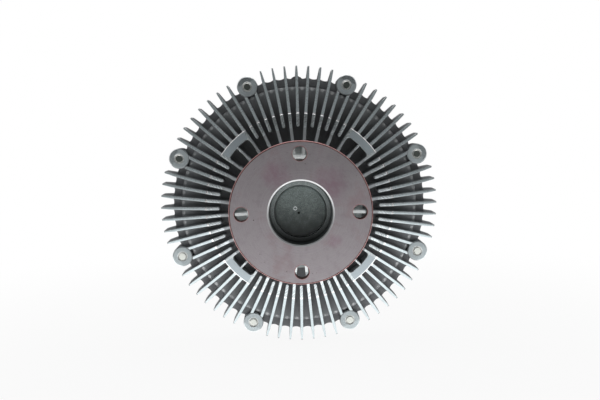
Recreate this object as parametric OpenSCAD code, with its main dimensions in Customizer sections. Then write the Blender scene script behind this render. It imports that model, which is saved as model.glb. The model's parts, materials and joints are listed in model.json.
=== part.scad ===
// Viscous fan clutch. A flange bolted to the water pump drives a rotor inside a finned housing,
// and the housing carries the fan. Silicone fluid between the rotor's and the cover's rings drags
// the housing round, and a coil of bimetal opens the valve that lets the fluid in.
// Every piece is drawn in plan as seen from the flange, and depth counts from the flange's
// mounting face towards the fan. facing() then lays the clutch's axis along Y, with +Z up.

/* [Drive flange] */
// Pitch circle of the pump studs
stud_pcd = 74; // [72:1:80]
// Hole for each pump stud
stud_hole_d = 9; // [7:0.5:10]
// Number of pump studs
stud_count = 4; // [3:1:6]
// From the pitch circle to the flange's edge
flange_edge = 8; // [7:0.5:11]
// Thickness of the flange
flange_t = 7.5; // [6:0.5:9]
// Bore that fits over the pump's nose
pilot_d = 40; // [38:0.5:43]
// Depth of the pilot bore to its ledge
pilot_depth = 11; // [10:0.5:13]
// Wall round the pilot bore
neck_wall = 5; // [4:0.5:6]
// Room for the pump nuts between flange and hub
nut_gap = 11.5; // [10:0.5:16]

/* [Drive shaft] */
// Round head that shows in the pilot bore
head_d = 33; // [32.5:0.5:35]
// How far the head lies behind the ledge
head_sink = 0.3; // [0.2:0.1:1]
// Thickness of the head
head_t = 5.5; // [4.5:0.5:6.5]
// Seat of the rotor on the shaft
rotor_seat_d = 23; // [20:0.5:25]

/* [Bearing] */
// Bore of the ball bearing
bearing_bore = 30; // [28:0.5:31]
// Outside diameter of the ball bearing
bearing_od = 55; // [54:0.5:60]
// Width of the ball bearing
bearing_w = 13; // [12.5:0.5:16]
// Diameter of a ball
ball_d = 7.9; // [7:0.1:8.2]
// Number of balls
ball_count = 11; // [8:1:12]

/* [Rotor and chamber] */
// Diameter of the rotor
rotor_d = 151.6; // [148:0.2:156]
// Thickness of the rotor's disc
rotor_t = 4.7; // [4:0.1:5]
// Running gap round the rotor's edge and behind it
rotor_gap = 0.7; // [0.5:0.1:1]
// Width of each ring of the labyrinth
ring_w = 2.2; // [1.8:0.1:2.6]
// Running gap between the labyrinth's rings
ring_gap = 0.5; // [0.4:0.1:0.8]

/* [Rear case] */
// Wall of the hub round the bearing
hub_wall = 6.7; // [5:0.1:8]
// Height of the hub above the floor between the fins
hub_rise = 30.5; // [29:0.5:34]
// Lip behind the bearing
lip_t = 5; // [4:0.5:7]
// Thickness of the case's floor
case_floor_t = 4.5; // [4:0.5:6]
// Wall round the chamber
case_wall = 4.2; // [4:0.1:5]
// Depth of the chamber in the case
case_cavity = 4; // [3.5:0.1:5]
// Width of the rim outside the chamber's wall
rim_w = 5.4; // [4:0.2:7]
// Thickness of the case's rim
rim_t = 5; // [4:0.5:7]

/* [Fins] */
// Number of fins round the case and round the cover
fin_count = 72; // [72:8:72]
// Width of a fin
fin_w = 2; // [1.6:0.1:2.4]
// Width of a fin where it leaves the rim
fin_neck_w = 1.8; // [1.4:0.1:2]
// Width of a fin at its tip
fin_tip_w = 1.1; // [0.8:0.1:1.6]
// Reach of the fins beyond the rim
fin_reach = 8.5; // [7:0.5:10]
// Height of the rear fins' turned crest above the floor
fin_h = 11.5; // [10:0.5:13]
// Height of the fin tips behind the joint face
tip_h = 9.6; // [8:0.2:11]
// Diameter of the turned step across the fins
step_d = 124.6; // [120:0.2:128]
// Diameter where the short fins begin
short_fin_d = 106.4; // [102:0.2:110]
// Radial width of the bridges between the long fins
bridge_w = 5.2; // [3.5:0.1:6]

/* [Ears and screws] */
// Number of ears and cover screws
ear_count = 8; // [4:4:8]
// Outside diameter of an ear
ear_d = 13.8; // [13:0.2:15]
// Distance of the ears' centres outside the rim
ear_out = 1.5; // [0.5:0.1:3]
// Thickness of an ear on the case
case_ear_t = 10; // [8:0.5:11]
// Thickness of an ear on the cover
cover_ear_t = 7.5; // [6:0.5:9]
// Thread of the cover screws
screw_d = 6; // [5:0.5:6]

/* [Front cover] */
// Depth of the chamber in the cover
cover_cavity = 7; // [6.5:0.1:9]
// Thickness of the cover over the chamber
cover_floor_t = 6.5; // [6:0.5:8]
// Thickness of the cover's rim
cover_rim_t = 4.5; // [4:0.5:6]
// Height of the cover's fins above its floor
cover_fin_h = 7.5; // [6:0.5:8.5]
// Height of the cover's fin tips in front of the joint face
cover_tip_h = 8.5; // [7:0.5:10]
// Diameter of the raised middle of the cover
dome_d = 94; // [92:1:100]
// Diameter of the fluid reservoir
reservoir_d = 79; // [74:1:80]

/* [Fan mount] */
// Pitch circle of the fan studs
fan_pcd = 118; // [116:1:124]
// Thread of the fan studs
fan_stud_d = 8; // [6:0.5:8]
// Thread of the studs' thicker end in the cover
fan_stud_root_d = 10; // [9:0.5:11]
// Number of fan studs
fan_stud_count = 4; // [4:4:4]
// Diameter of the boss under each fan stud
fan_boss_d = 18; // [16:0.5:20]
// Length of each fan stud in front of its boss
fan_stud_l = 16; // [12:1:20]

/* [Valve and bimetal] */
// Diameter of the valve spindle
spindle_d = 8; // [7:0.5:9]
// Thickness of the separator plate
plate_t = 1.2; // [1:0.1:1.5]
// Diameter of the fluid port in the separator plate
port_d = 8; // [6:0.5:9]
// Distance of the fluid port from the axis
port_r = 26; // [23:0.5:28]
// Thickness of the bimetal strip
coil_t = 1.2; // [0.8:0.1:1.4]
// Width of the bimetal strip
coil_w = 7.2; // [6:0.2:9]
// Turns of the bimetal coil
coil_turns = 5; // [4:1:5]
// Distance from one turn of the coil to the next
coil_pitch = 3.4; // [2.8:0.1:3.6]

/* [Hidden] */
$fn = 96;

// Clearances
press_fit = 0.02;
running_fit = 0.05;
loose_fit = 0.3;
shield_gap = 0.3;
// Amount by which a cut runs past the face it opens, or a rib sinks into its wall
past = 1;

// Flange, neck and shaft, in depth from the mounting face
flange_r = stud_pcd / 2 + flange_edge;
flange_chamfer = 0.8;
pilot_r = pilot_d / 2;
pilot_chamfer = 0.7;
neck_r = pilot_r + neck_wall;
neck_fillet = 2;
neck_gap = 2;
hub_depth = flange_t + nut_gap;
neck_end = hub_depth - neck_gap;
shaft_r = bearing_bore / 2;
spigot_wall = 3.4;
spigot_r = shaft_r + spigot_wall;
head_r = head_d / 2;
head_groove = 0.25;
head_round = 1.2;
head_face = pilot_depth + head_sink;
head_seat = head_face + head_t;
rotor_seat_r = rotor_seat_d / 2;
shaft_chamfer = 1;
shaft_shoulder_set = 0.5;
punch_r = 0.9;
punch_at = [-1.1, -0.9];
dent_r = 1.2;
dent_depth = 0.35;
dent_at = [-3.3, 1.9];

// Bearing
bearing_from = hub_depth + lip_t;
bearing_to = bearing_from + bearing_w;
bearing_mid = bearing_from + bearing_w / 2;
bearing_r = bearing_od / 2;
ball_r = ball_d / 2;
pitch_r = (shaft_r + bearing_r) / 2;
race_land = 2.65;
race_groove_r = ball_r + running_fit;
race_chamfer = 0.6;
shield_t = 0.5;
shield_recess = 0.4;
shield_seat = 0.8;
shield_in_r = pitch_r - race_land + shield_gap;
shield_out_r = pitch_r + race_land + shield_seat;
cage_t = 1.7;
cage_rail = 0.9;

// Bearing circlip, in a groove of the hub
circlip_t = 1.5;
circlip_bite = 1.3;
circlip_w = 3.7;
circlip_from = bearing_to + running_fit;
circlip_to = circlip_from + circlip_t;
circlip_gap_angle = 36;
circlip_eye_r = 2.2;
circlip_eye_hole_r = 0.9;
circlip_eye_back = 1.4;

// Rear case
lip_gap = 1.2;
lip_r = spigot_r + lip_gap;
bore_r = bearing_r + press_fit;
hub_r = bearing_r + hub_wall;
hub_chamfer = 1.2;
hub_draft = 2;
hub_root = 3;
hub_foot_r = hub_r + hub_draft;
floor_depth = hub_depth + hub_rise;
chamber_depth = floor_depth + case_floor_t;
joint_depth = chamber_depth + case_cavity;
chamber_r = rotor_d / 2 + rotor_gap;
wall_r = chamber_r + case_wall;
wall_round = 2.5;
rim_r = wall_r + rim_w;
rim_depth = joint_depth - rim_t;
throat_wide = 4;
throat_from = circlip_to + past;
tip_r = rim_r + fin_reach;
tip_depth = joint_depth - tip_h;
tip_corner = 1.4;
step_r = step_d / 2;
step_h = 1.1;
crest_depth = floor_depth - fin_h;
short_r = short_fin_d / 2;
short_setback = 0.4;
gusset_in = 5.2;
gusset_rise = 4.2;
gusset_r = short_r - gusset_in;
gusset_depth = crest_depth - gusset_rise;
gusset_top = gusset_depth - gusset_rise;
fin_pitch = 360 / fin_count;
scallop_r = 6;
fin_neck = 1.4;
fin_neck_r = rim_r + fin_neck;

// Bridges across the long fins, with a pocket on each side of the middle fin
bridge_count = 4;
bridge_first = 180 / bridge_count;
bridge_angle = 4 * fin_pitch;
bridge_lap = 0.6;
bridge_in_r = step_r - bridge_w;
pocket_corner = 2.2;
pocket_bite = 0.3;

// Ears and screws
ear_r = ear_d / 2;
ear_pcr = rim_r + ear_out;
ear_relief = 0.6;
ear_chamfer = 0.6;
ear_step = 0.25;
ear_first = 180 / ear_count;
ear_depth = joint_depth - case_ear_t;
ear_front = joint_depth + cover_ear_t;
screw_r = screw_d / 2 - running_fit;
tapped_r = screw_d / 2;
tapped_chamfer = 0.3;
screw_hole_r = screw_r + loose_fit;
screw_recess = 0.5;
screw_chamfer = 0.9;
screw_head_af = 10;
screw_head_t = 4;
washer_t = 1.4;
washer_r = 5.6;
washer_split = 8;

// Rotor, with its rings towards the cover
rotor_r = rotor_d / 2;
rotor_back = chamber_depth + rotor_gap;
rotor_front = rotor_back + rotor_t;
rotor_hub_wall = 2;
rotor_hub_r = shaft_r + rotor_hub_wall;
rotor_hub_cone = 5;
rotor_hub_out = 1.5;
rotor_hub_to = rotor_front + rotor_hub_out;
rotor_hole_r = 4;
rotor_hole_pcr = 36;
rotor_hole_count = 6;
cover_base = joint_depth + cover_cavity;
ring_pitch = 2 * (ring_w + ring_gap);
ring_h = cover_base - rotor_front - ring_gap;
ring_sink = 0.5;
rotor_clip_t = 1.5;
rotor_clip_bite = 0.9;
rotor_clip_w = 3.5;
rotor_clip_to = rotor_hub_to + rotor_clip_t;
shaft_out = 1.5;
shaft_end = rotor_clip_to + shaft_out;

// Front cover
cover_floor = cover_base + cover_floor_t;
cover_crest = cover_floor + cover_fin_h;
cover_tip = joint_depth + cover_tip_h;
cover_rim = joint_depth + cover_rim_t;
cover_crest_r = step_r;
cover_short_set = 4;
cover_short_r = short_r + cover_short_set;
plate_margin = 5.5;
reservoir_r = reservoir_d / 2;
plate_r = reservoir_r + plate_margin;
plate_seat_r = plate_r + loose_fit;
plate_sink = 1;
plate_front = cover_base + plate_t + plate_sink;
plate_back = plate_front - plate_t;
ring_count = floor((rotor_r - plate_seat_r) / ring_pitch);
dome_r = dome_d / 2;
dome_slope = 3.5;
dome_rise = 6;
dome_front = cover_floor + dome_rise;
dome_t = 3.5;
reservoir_front = dome_front - dome_t;
boss_in_r = 9;
boss_in_l = 2.5;
boss_in_depth = reservoir_front - boss_in_l;
boss_r = 9.5;
boss_out = 4.5;
boss_front = dome_front + boss_out;
lug_r = 5;
lug_out = 1;
seal_d = 2;
seal_r = (chamber_r + wall_r) / 2;
seal_room = 0.2;
seal_groove_w = seal_d + seal_room;
seal_groove_t = seal_d + 2 * press_fit;

// Separator plate, its screws and the drilled return passage
plate_screw_count = 4;
plate_screw_r = 1.45;
plate_screw_tap_r = plate_screw_r + running_fit;
plate_screw_room = 0.2;
plate_screw_hole_r = plate_screw_r + plate_screw_room;
plate_screw_head_r = 2.6;
plate_screw_head_t = 1.1;
plate_screw_l = 5;
plate_screw_pcr = (plate_r + reservoir_r) / 2;
return_r = 1.3;
return_wall = 2.7;
return_depth = cover_floor - return_wall;
return_at = 67.5;
return_inlet_r = 0.9;
return_inlet_pcr = rotor_r - ring_w / 2;
plug_l = 3;
plug_sink = 0.3;

// Valve
spindle_r = spindle_d / 2;
spindle_hole_r = spindle_r + running_fit;
valve_t = 0.9;
valve_hub_r = 7;
valve_lap = 2;
valve_arm_r = port_d / 2 + valve_lap;
valve_from = plate_front + loose_fit;
valve_to = valve_from + valve_t;
rivet_r = 2.4;
collar_r = 6;
collar_gap = 0.6;
collar_to = boss_in_depth - collar_gap;
spindle_seal_d = 1.1;
spindle_seal_set = 2;
spindle_seal_from = reservoir_front + spindle_seal_set;
spindle_seal_groove_r = spindle_hole_r - spindle_seal_d - 2 * running_fit;
clip_t = 0.8;
clip_bite = 0.8;
clip_w = 3.2;
clip_from = boss_front + running_fit;
clip_opening = 70;

// Bimetal coil and the bracket that holds its outer end
coil_gap = 1.3;
coil_from = clip_from + clip_t + coil_gap;
coil_to = coil_from + coil_w;
coil_in_gap = 1.6;
coil_in_r = spindle_r + coil_in_gap;
coil_end_r = coil_in_r + coil_turns * coil_pitch;
coil_tab_in = 3.2;
coil_tail = 5.5;
slot_room = 0.2;
slot_w = coil_t + 2 * slot_room;
slot_past = 0.6;
slot_from = coil_from - slot_past;
spindle_out = 0.8;
spindle_end = coil_to + spindle_out;
bracket_t = 1.5;
bracket_front = dome_front + bracket_t;
bracket_in_r = coil_end_r + coil_t;
bracket_base_w = 9;
bracket_span = 30;
prong_w = 2.2;
prong_l = 3.6;
bracket_screw_r = 1.95;
bracket_screw_tap_r = bracket_screw_r + running_fit;
bracket_screw_room = 0.2;
bracket_screw_hole_r = bracket_screw_r + bracket_screw_room;
bracket_screw_head_r = 3.6;
bracket_screw_head_t = 2.4;
bracket_screw_l = 2.6;
bracket_screw_edge = 5;
bracket_screw_at = [for (s = [-1, 1])
    [bracket_in_r + bracket_base_w / 2, s * (bracket_span / 2 - bracket_screw_edge)]];

// Fan studs
fan_boss_r = fan_boss_d / 2;
fan_boss_out = 2;
fan_boss_front = cover_crest + fan_boss_out;
fan_stud_r = fan_stud_d / 2 - running_fit;
fan_root_r = fan_stud_root_d / 2 - running_fit;
fan_first = 180 / fan_stud_count;
fan_stud_cover = 3.5;
fan_stud_from = cover_base + fan_stud_cover;
fan_stud_to = fan_boss_front + fan_stud_l;
fan_stud_chamfer = 0.9;

steel_dark = "#4b4d4c";
steel_bright = "#b4b6b8";
steel_flange = "#7d7478";
cast_alloy = "#8d9296";
zinc = "#b9bcb6";
rubber_black = "#1d1d1f";
bimetal = "#9a8a6a";

// A point of a turned profile, from its radius and depth
function at(r, depth) = [r, -depth];

// Lays the plan, drawn as seen from the flange, across the part's own frame
module facing() {
    rotate([90, 0, 0]) children();
}

module turned(profile) {
    rotate_extrude() polygon(profile);
}

// Extrudes a plan from one depth to another
module between(from, to) {
    translate([0, 0, -to]) linear_extrude(to - from) children();
}

module bar(r, from, to) {
    translate([0, 0, -to]) cylinder(r = r, h = to - from);
}

// A straight cone from one radius and depth to another
module taper(r_from, r_to, from, to) {
    translate([0, 0, -to]) cylinder(r1 = r_to, r2 = r_from, h = to - from);
}

module ring(r_in, r_out, from, to) {
    turned([at(r_in, from), at(r_out, from), at(r_out, to), at(r_in, to)]);
}

module around(count, first = 0) {
    for (i = [0 : count - 1]) rotate(first + i * 360 / count) children();
}

module place(r) {
    translate([r, 0, 0]) children();
}

// A spring ring with a gap, and an eye beside the gap at each end
module eyed_ring(r_in, r_out, eye_pcr, from, to) {
    half = circlip_gap_angle / 2;
    eye_at = half + asin(circlip_eye_back / eye_pcr);
    difference() {
        union() {
            rotate_extrude(start = 90 + half, angle = 360 - circlip_gap_angle)
                polygon([at(r_in, from), at(r_out, from), at(r_out, to), at(r_in, to)]);
            for (s = [-1, 1]) rotate(90 + s * eye_at) place(eye_pcr) bar(circlip_eye_r, from, to);
        }
        for (s = [-1, 1]) rotate(90 + s * eye_at) place(eye_pcr) bar(circlip_eye_hole_r, from - past, to + past);
    }
}

// One fin in plan, straight to the step, a little narrower at the rim, and narrowing to its tip
module fin_plan(from_r) {
    side = [[from_r, fin_w / 2], [step_r, fin_w / 2], [fin_neck_r, fin_neck_w / 2], [tip_r, fin_tip_w / 2]];
    polygon(concat([for (p = side) [p.x, -p.y]], [for (i = [3 : -1 : 0]) side[i]]));
}

// All fins in plan: the long ones from long_r, and the short ones from a round end at short_from
module fins(long_r, short_from, from, to) {
    around(fin_count / 2, fin_pitch) between(from, to) fin_plan(long_r);
    around(fin_count / 2) between(from, to) {
        fin_plan(short_from + fin_w / 2);
        place(short_from + fin_w / 2) circle(fin_w / 2);
    }
}

// Rim with a round hollow between each two fins
module scalloped_rim(from, to) {
    difference() {
        ring(wall_r - past, rim_r + scallop_r, from, to);
        around(fin_count, fin_pitch / 2) place(rim_r + scallop_r) bar(scallop_r, from - past, to + past);
    }
}

// An ear, chamfered at its free end
module ear(free, joint) {
    to_joint = sign(joint - free);
    shoulder = free + to_joint * ear_chamfer;
    turned([at(0, free), at(ear_r - ear_chamfer, free), at(ear_r, shoulder), at(ear_r, joint), at(0, joint)]);
}

// Where a fin meets an ear, it ends inside the ear
module ear_room(from, to) {
    around(ear_count, ear_first) between(from, to)
        translate([ear_pcr, -ear_r]) square([fin_reach + ear_r, 2 * ear_r]);
}

// Half the width of a bridge's pocket, which takes a little off the fins beside it
function pocket_half(r) = r * tan(fin_pitch) - fin_w / 2 / cos(fin_pitch) + pocket_bite;

// Room beside the middle fin of a bridge, square towards that fin and round at its other corner
module pocket_plan() {
    corner_x = bridge_in_r - pocket_corner;
    corner_y = pocket_half(corner_x) - pocket_corner;
    polygon([[gusset_r, -pocket_half(gusset_r)], [bridge_in_r, -pocket_half(bridge_in_r)], [bridge_in_r, corner_y],
        [corner_x, corner_y + pocket_corner], [gusset_r, pocket_half(gusset_r)]]);
    translate([corner_x, corner_y]) circle(pocket_corner);
}

module drive_flange() {
    color(steel_flange) facing() difference() {
        turned([at(pilot_r + pilot_chamfer, 0), at(flange_r - flange_chamfer, 0),
            at(flange_r, flange_chamfer), at(flange_r, flange_t - flange_chamfer),
            at(flange_r - flange_chamfer, flange_t), at(neck_r + neck_fillet, flange_t),
            at(neck_r, flange_t + neck_fillet), at(neck_r, neck_end), at(spigot_r, neck_end),
            at(spigot_r, bearing_from), at(shaft_r + press_fit, bearing_from),
            at(shaft_r + press_fit, head_seat), at(head_r + head_groove, head_seat),
            at(head_r + head_groove, pilot_depth), at(pilot_r, pilot_depth), at(pilot_r, pilot_chamfer)]);
        around(stud_count) place(stud_pcd / 2) bar(stud_hole_d / 2, -past, flange_t + past);
    }
}

module drive_shaft() {
    shoulder = bearing_to - shaft_shoulder_set;
    groove_r = rotor_seat_r - rotor_clip_bite;
    color(steel_dark) facing() difference() {
        union() {
            rotate_extrude() {
                translate([0, -head_seat]) square([head_r, head_t - head_round]);
                translate([0, -head_face - head_round]) square([head_r - head_round, head_round]);
                translate([head_r - head_round, -head_face - head_round]) circle(head_round);
            }
            turned([at(0, head_seat - past), at(shaft_r, head_seat - past), at(shaft_r, shoulder),
                at(rotor_seat_r, shoulder), at(rotor_seat_r, rotor_hub_to), at(groove_r, rotor_hub_to),
                at(groove_r, rotor_clip_to), at(rotor_seat_r, rotor_clip_to),
                at(rotor_seat_r, shaft_end - shaft_chamfer), at(rotor_seat_r - shaft_chamfer, shaft_end),
                at(0, shaft_end)]);
        }
        translate(punch_at) taper(punch_r, 0, head_face, head_face + punch_r);
        translate([dent_at.x, dent_at.y, -head_face + dent_r - dent_depth]) sphere(dent_r);
    }
}

// A race between two radii, with a groove for the balls
module race(r_in, r_out) {
    rotate_extrude() difference() {
        polygon([at(r_in + race_chamfer, bearing_from), at(r_out - race_chamfer, bearing_from),
            at(r_out, bearing_from + race_chamfer), at(r_out, bearing_to - race_chamfer),
            at(r_out - race_chamfer, bearing_to), at(r_in + race_chamfer, bearing_to),
            at(r_in, bearing_to - race_chamfer), at(r_in, bearing_from + race_chamfer)]);
        translate(at(pitch_r, bearing_mid)) circle(race_groove_r);
    }
}

module bearing_inner_race() {
    color(steel_bright) facing() race(shaft_r + press_fit, pitch_r - race_land);
}

module bearing_outer_race() {
    depth = shield_recess + shield_t + running_fit;
    color(steel_bright) facing() difference() {
        race(pitch_r + race_land, bearing_r);
        bar(shield_out_r + press_fit, bearing_from - past, bearing_from + depth);
        bar(shield_out_r + press_fit, bearing_to - depth, bearing_to + past);
    }
}

module bearing_balls() {
    color(steel_bright) facing() around(ball_count) translate([pitch_r, 0, -bearing_mid]) sphere(ball_r);
}

module bearing_cage() {
    half = ball_r + cage_rail;
    color(bimetal) facing() difference() {
        ring(pitch_r - cage_t / 2, pitch_r + cage_t / 2, bearing_mid - half, bearing_mid + half);
        around(ball_count) translate([pitch_r - cage_t, 0, -bearing_mid]) rotate([0, 90, 0])
            cylinder(r = race_groove_r, h = 2 * cage_t);
    }
}

module bearing_rear_shield() {
    from = bearing_from + shield_recess;
    color(rubber_black) facing() ring(shield_in_r, shield_out_r, from, from + shield_t);
}

module bearing_front_shield() {
    to = bearing_to - shield_recess;
    color(rubber_black) facing() ring(shield_in_r, shield_out_r, to - shield_t, to);
}

module bearing_circlip() {
    r_out = bore_r + circlip_bite - press_fit;
    color(steel_dark) facing()
        eyed_ring(r_out - circlip_w, r_out, bore_r - circlip_eye_r - loose_fit, circlip_from, circlip_to);
}

module rotor() {
    color(cast_alloy) facing() difference() {
        union() {
            turned([at(rotor_seat_r + press_fit, bearing_to), at(rotor_hub_r, bearing_to),
                at(rotor_hub_r, rotor_back - rotor_hub_cone), at(rotor_hub_r + rotor_hub_cone, rotor_back),
                at(rotor_r, rotor_back), at(rotor_r, rotor_front), at(rotor_hub_r + rotor_hub_cone, rotor_front),
                at(rotor_hub_r, rotor_hub_to), at(rotor_seat_r + press_fit, rotor_hub_to)]);
            for (i = [0 : ring_count - 1])
                ring(rotor_r - i * ring_pitch - ring_w, rotor_r - i * ring_pitch,
                    rotor_front - ring_sink, rotor_front + ring_h);
        }
        around(rotor_hole_count) place(rotor_hole_pcr) bar(rotor_hole_r, rotor_back - past, rotor_front + past);
    }
}

module rotor_circlip() {
    r_in = rotor_seat_r - rotor_clip_bite + press_fit;
    color(steel_dark) facing()
        eyed_ring(r_in, r_in + rotor_clip_w, rotor_seat_r + circlip_eye_r + loose_fit, rotor_hub_to, rotor_clip_to);
}

// Round shoulder of the chamber's wall, for the section of either half
module wall_shoulder(floor_at, to_joint) {
    translate(at(wall_r - wall_round, floor_at + to_joint * wall_round)) circle(wall_round);
}

// Section of the case without its fins
module case_body() {
    groove_r = bore_r + circlip_bite;
    rotate_extrude() wall_shoulder(floor_depth, 1);
    turned([at(lip_r, hub_depth), at(hub_r - hub_chamfer, hub_depth), at(hub_r, hub_depth + hub_chamfer),
        at(hub_foot_r, floor_depth - hub_root), at(hub_foot_r + hub_root, floor_depth),
        at(wall_r - wall_round, floor_depth), at(wall_r, floor_depth + wall_round),
        at(wall_r, joint_depth), at(chamber_r, joint_depth), at(chamber_r, chamber_depth),
        at(bore_r + throat_wide, chamber_depth), at(bore_r, throat_from), at(bore_r, circlip_to + running_fit),
        at(groove_r, circlip_to + running_fit), at(groove_r, bearing_to), at(bore_r, bearing_to),
        at(bore_r, bearing_from), at(lip_r, bearing_from)]);
}

// The turned outline that all the case's fins share
module case_fin_outline() {
    turned([at(hub_r - past, gusset_top), at(gusset_r, gusset_depth), at(short_r, crest_depth),
        at(step_r, crest_depth), at(step_r + step_h, crest_depth + step_h), at(tip_r - tip_corner, tip_depth),
        at(tip_r, tip_depth + tip_corner), at(tip_r, joint_depth), at(wall_r - past, joint_depth),
        at(wall_r - past, floor_depth + past), at(hub_r - past, floor_depth + past)]);
}

module bridge() {
    rotate_extrude(start = -bridge_angle / 2, angle = bridge_angle)
        polygon([at(bridge_in_r - pocket_corner, hub_depth), at(step_r + bridge_lap, hub_depth),
            at(step_r + bridge_lap, floor_depth + past), at(bridge_in_r - pocket_corner, floor_depth + past)]);
}

module case_fins() {
    difference() {
        intersection() {
            case_fin_outline();
            union() {
                fins(hub_r - past, short_r + short_setback, hub_depth, joint_depth + past);
                around(bridge_count, bridge_first) bridge();
            }
        }
        around(bridge_count, bridge_first) for (s = [0, 1]) mirror([0, s]) rotate(fin_pitch)
            between(hub_depth, floor_depth + 2 * past) pocket_plan();
        ear_room(hub_depth, joint_depth + 2 * past);
        around(ear_count, ear_first) place(ear_pcr) bar(ear_r + ear_relief, hub_depth, ear_depth + ear_step);
    }
}

module rear_case() {
    color(cast_alloy) facing() difference() {
        union() {
            case_body();
            case_fins();
            scalloped_rim(rim_depth, joint_depth);
            around(ear_count, ear_first) place(ear_pcr) ear(ear_depth, joint_depth);
        }
        around(ear_count, ear_first) place(ear_pcr) {
            bar(tapped_r, ear_depth - past, joint_depth + past);
            taper(tapped_r + tapped_chamfer + past, tapped_r, ear_depth - past, ear_depth + tapped_chamfer);
        }
    }
}

// Section of the cover without its fins
module cover_body() {
    rotate_extrude() wall_shoulder(cover_floor, -1);
    turned([at(spindle_hole_r, boss_in_depth), at(boss_in_r, boss_in_depth), at(boss_in_r, reservoir_front),
        at(reservoir_r, reservoir_front), at(reservoir_r, plate_front), at(plate_seat_r, plate_front),
        at(plate_seat_r, cover_base), at(chamber_r, cover_base), at(chamber_r, joint_depth),
        at(wall_r, joint_depth), at(wall_r, cover_floor - wall_round), at(wall_r - wall_round, cover_floor),
        at(dome_r + dome_slope, cover_floor), at(dome_r, dome_front), at(boss_r, dome_front),
        at(boss_r, boss_front), at(spindle_hole_r, boss_front)]);
}

// The turned outline that all the cover's fins share
module cover_fin_outline() {
    turned([at(dome_r - past, cover_floor - past), at(dome_r - past, dome_front - past),
        at(dome_r + past, cover_crest), at(cover_crest_r, cover_crest), at(tip_r - tip_corner, cover_tip + tip_corner),
        at(tip_r, cover_tip), at(tip_r, joint_depth), at(wall_r - past, joint_depth),
        at(wall_r - past, cover_floor - past)]);
}

module cover_fins() {
    difference() {
        intersection() {
            cover_fin_outline();
            fins(dome_r - past, cover_short_r, joint_depth - past, cover_crest + past);
        }
        around(ear_count, ear_first) place(ear_pcr) bar(ear_r + ear_relief, ear_front - ear_step, cover_crest + past);
        ear_room(joint_depth - 2 * past, cover_crest + past);
    }
}

module front_cover() {
    color(cast_alloy) facing() difference() {
        union() {
            cover_body();
            cover_fins();
            scalloped_rim(joint_depth, cover_rim);
            around(ear_count, ear_first) place(ear_pcr) ear(ear_front, joint_depth);
            around(fan_stud_count, fan_first) place(fan_pcd / 2) bar(fan_boss_r, cover_floor - past, fan_boss_front);
            rotate(90) place(rim_r + lug_out - lug_r + past) bar(lug_r, joint_depth, cover_rim);
            for (i = [0 : ring_count - 2])
                ring(rotor_r - i * ring_pitch - 2 * ring_w - ring_gap, rotor_r - i * ring_pitch - ring_w - ring_gap,
                    cover_base - ring_h, cover_base + ring_sink);
        }
        ring(seal_r - seal_groove_w / 2, seal_r + seal_groove_w / 2, joint_depth - past, joint_depth + seal_groove_t);
        around(ear_count, ear_first) place(ear_pcr) bar(screw_hole_r, joint_depth - past, ear_front + past);
        around(fan_stud_count, fan_first) place(fan_pcd / 2)
            bar(fan_stud_root_d / 2, fan_stud_from, fan_boss_front + past);
        around(plate_screw_count) place(plate_screw_pcr)
            bar(plate_screw_tap_r, plate_front - past, plate_front + plate_screw_l + past);
        for (p = bracket_screw_at) translate(p)
            bar(bracket_screw_tap_r, dome_front - bracket_screw_l - loose_fit, dome_front + past);
        rotate(return_at) {
            translate([reservoir_r - past, 0, -return_depth]) rotate([0, 90, 0])
                cylinder(r = return_r, h = wall_r - reservoir_r + 2 * past);
            place(return_inlet_pcr) bar(return_inlet_r, cover_base - past, return_depth);
        }
    }
}

module cover_seal_ring() {
    color(rubber_black) facing() rotate_extrude()
        translate(at(seal_r, joint_depth + seal_d / 2 + press_fit)) circle(seal_d / 2);
}

module cover_screws() {
    end = ear_depth + screw_recess;
    seat = ear_front + washer_t;
    head_r6 = screw_head_af / 2 / cos(30);
    color(zinc) facing() around(ear_count, ear_first) place(ear_pcr) {
        taper(screw_r - screw_chamfer, screw_r, end, end + screw_chamfer);
        bar(screw_r, end + screw_chamfer, seat + past);
        translate([0, 0, -seat - screw_head_t]) cylinder(r = head_r6, h = screw_head_t, $fn = 6);
    }
}

module cover_screw_washers() {
    r_in = screw_r + loose_fit;
    color(zinc) facing() around(ear_count, ear_first) place(ear_pcr)
        rotate_extrude(start = washer_split / 2, angle = 360 - washer_split)
            polygon([at(r_in, ear_front), at(washer_r, ear_front),
                at(washer_r, ear_front + washer_t), at(r_in, ear_front + washer_t)]);
}

module separator_plate() {
    color(steel_bright) facing() difference() {
        bar(plate_r, plate_back, plate_front);
        rotate(90) place(port_r) bar(port_d / 2, plate_back - past, plate_front + past);
        around(plate_screw_count) place(plate_screw_pcr)
            bar(plate_screw_hole_r, plate_back - past, plate_front + past);
    }
}

module separator_screws() {
    color(zinc) facing() around(plate_screw_count) place(plate_screw_pcr) {
        bar(plate_screw_head_r, plate_back - plate_screw_head_t, plate_back);
        bar(plate_screw_r, plate_back - plate_screw_head_t / 2, plate_front + plate_screw_l);
    }
}

module return_plug() {
    color(steel_bright) facing() rotate(return_at)
        translate([wall_r - plug_sink - plug_l, 0, -return_depth]) rotate([0, 90, 0])
            cylinder(r = return_r - press_fit, h = plug_l);
}

module valve_plate() {
    color(steel_bright) facing() difference() {
        between(valve_from, valve_to) {
            circle(valve_hub_r);
            polygon([[-valve_hub_r, 0], [valve_hub_r, 0], [valve_arm_r, port_r], [-valve_arm_r, port_r]]);
            translate([0, port_r]) circle(valve_arm_r);
        }
        bar(rivet_r + press_fit, valve_from - past, valve_to + past);
    }
}

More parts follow.
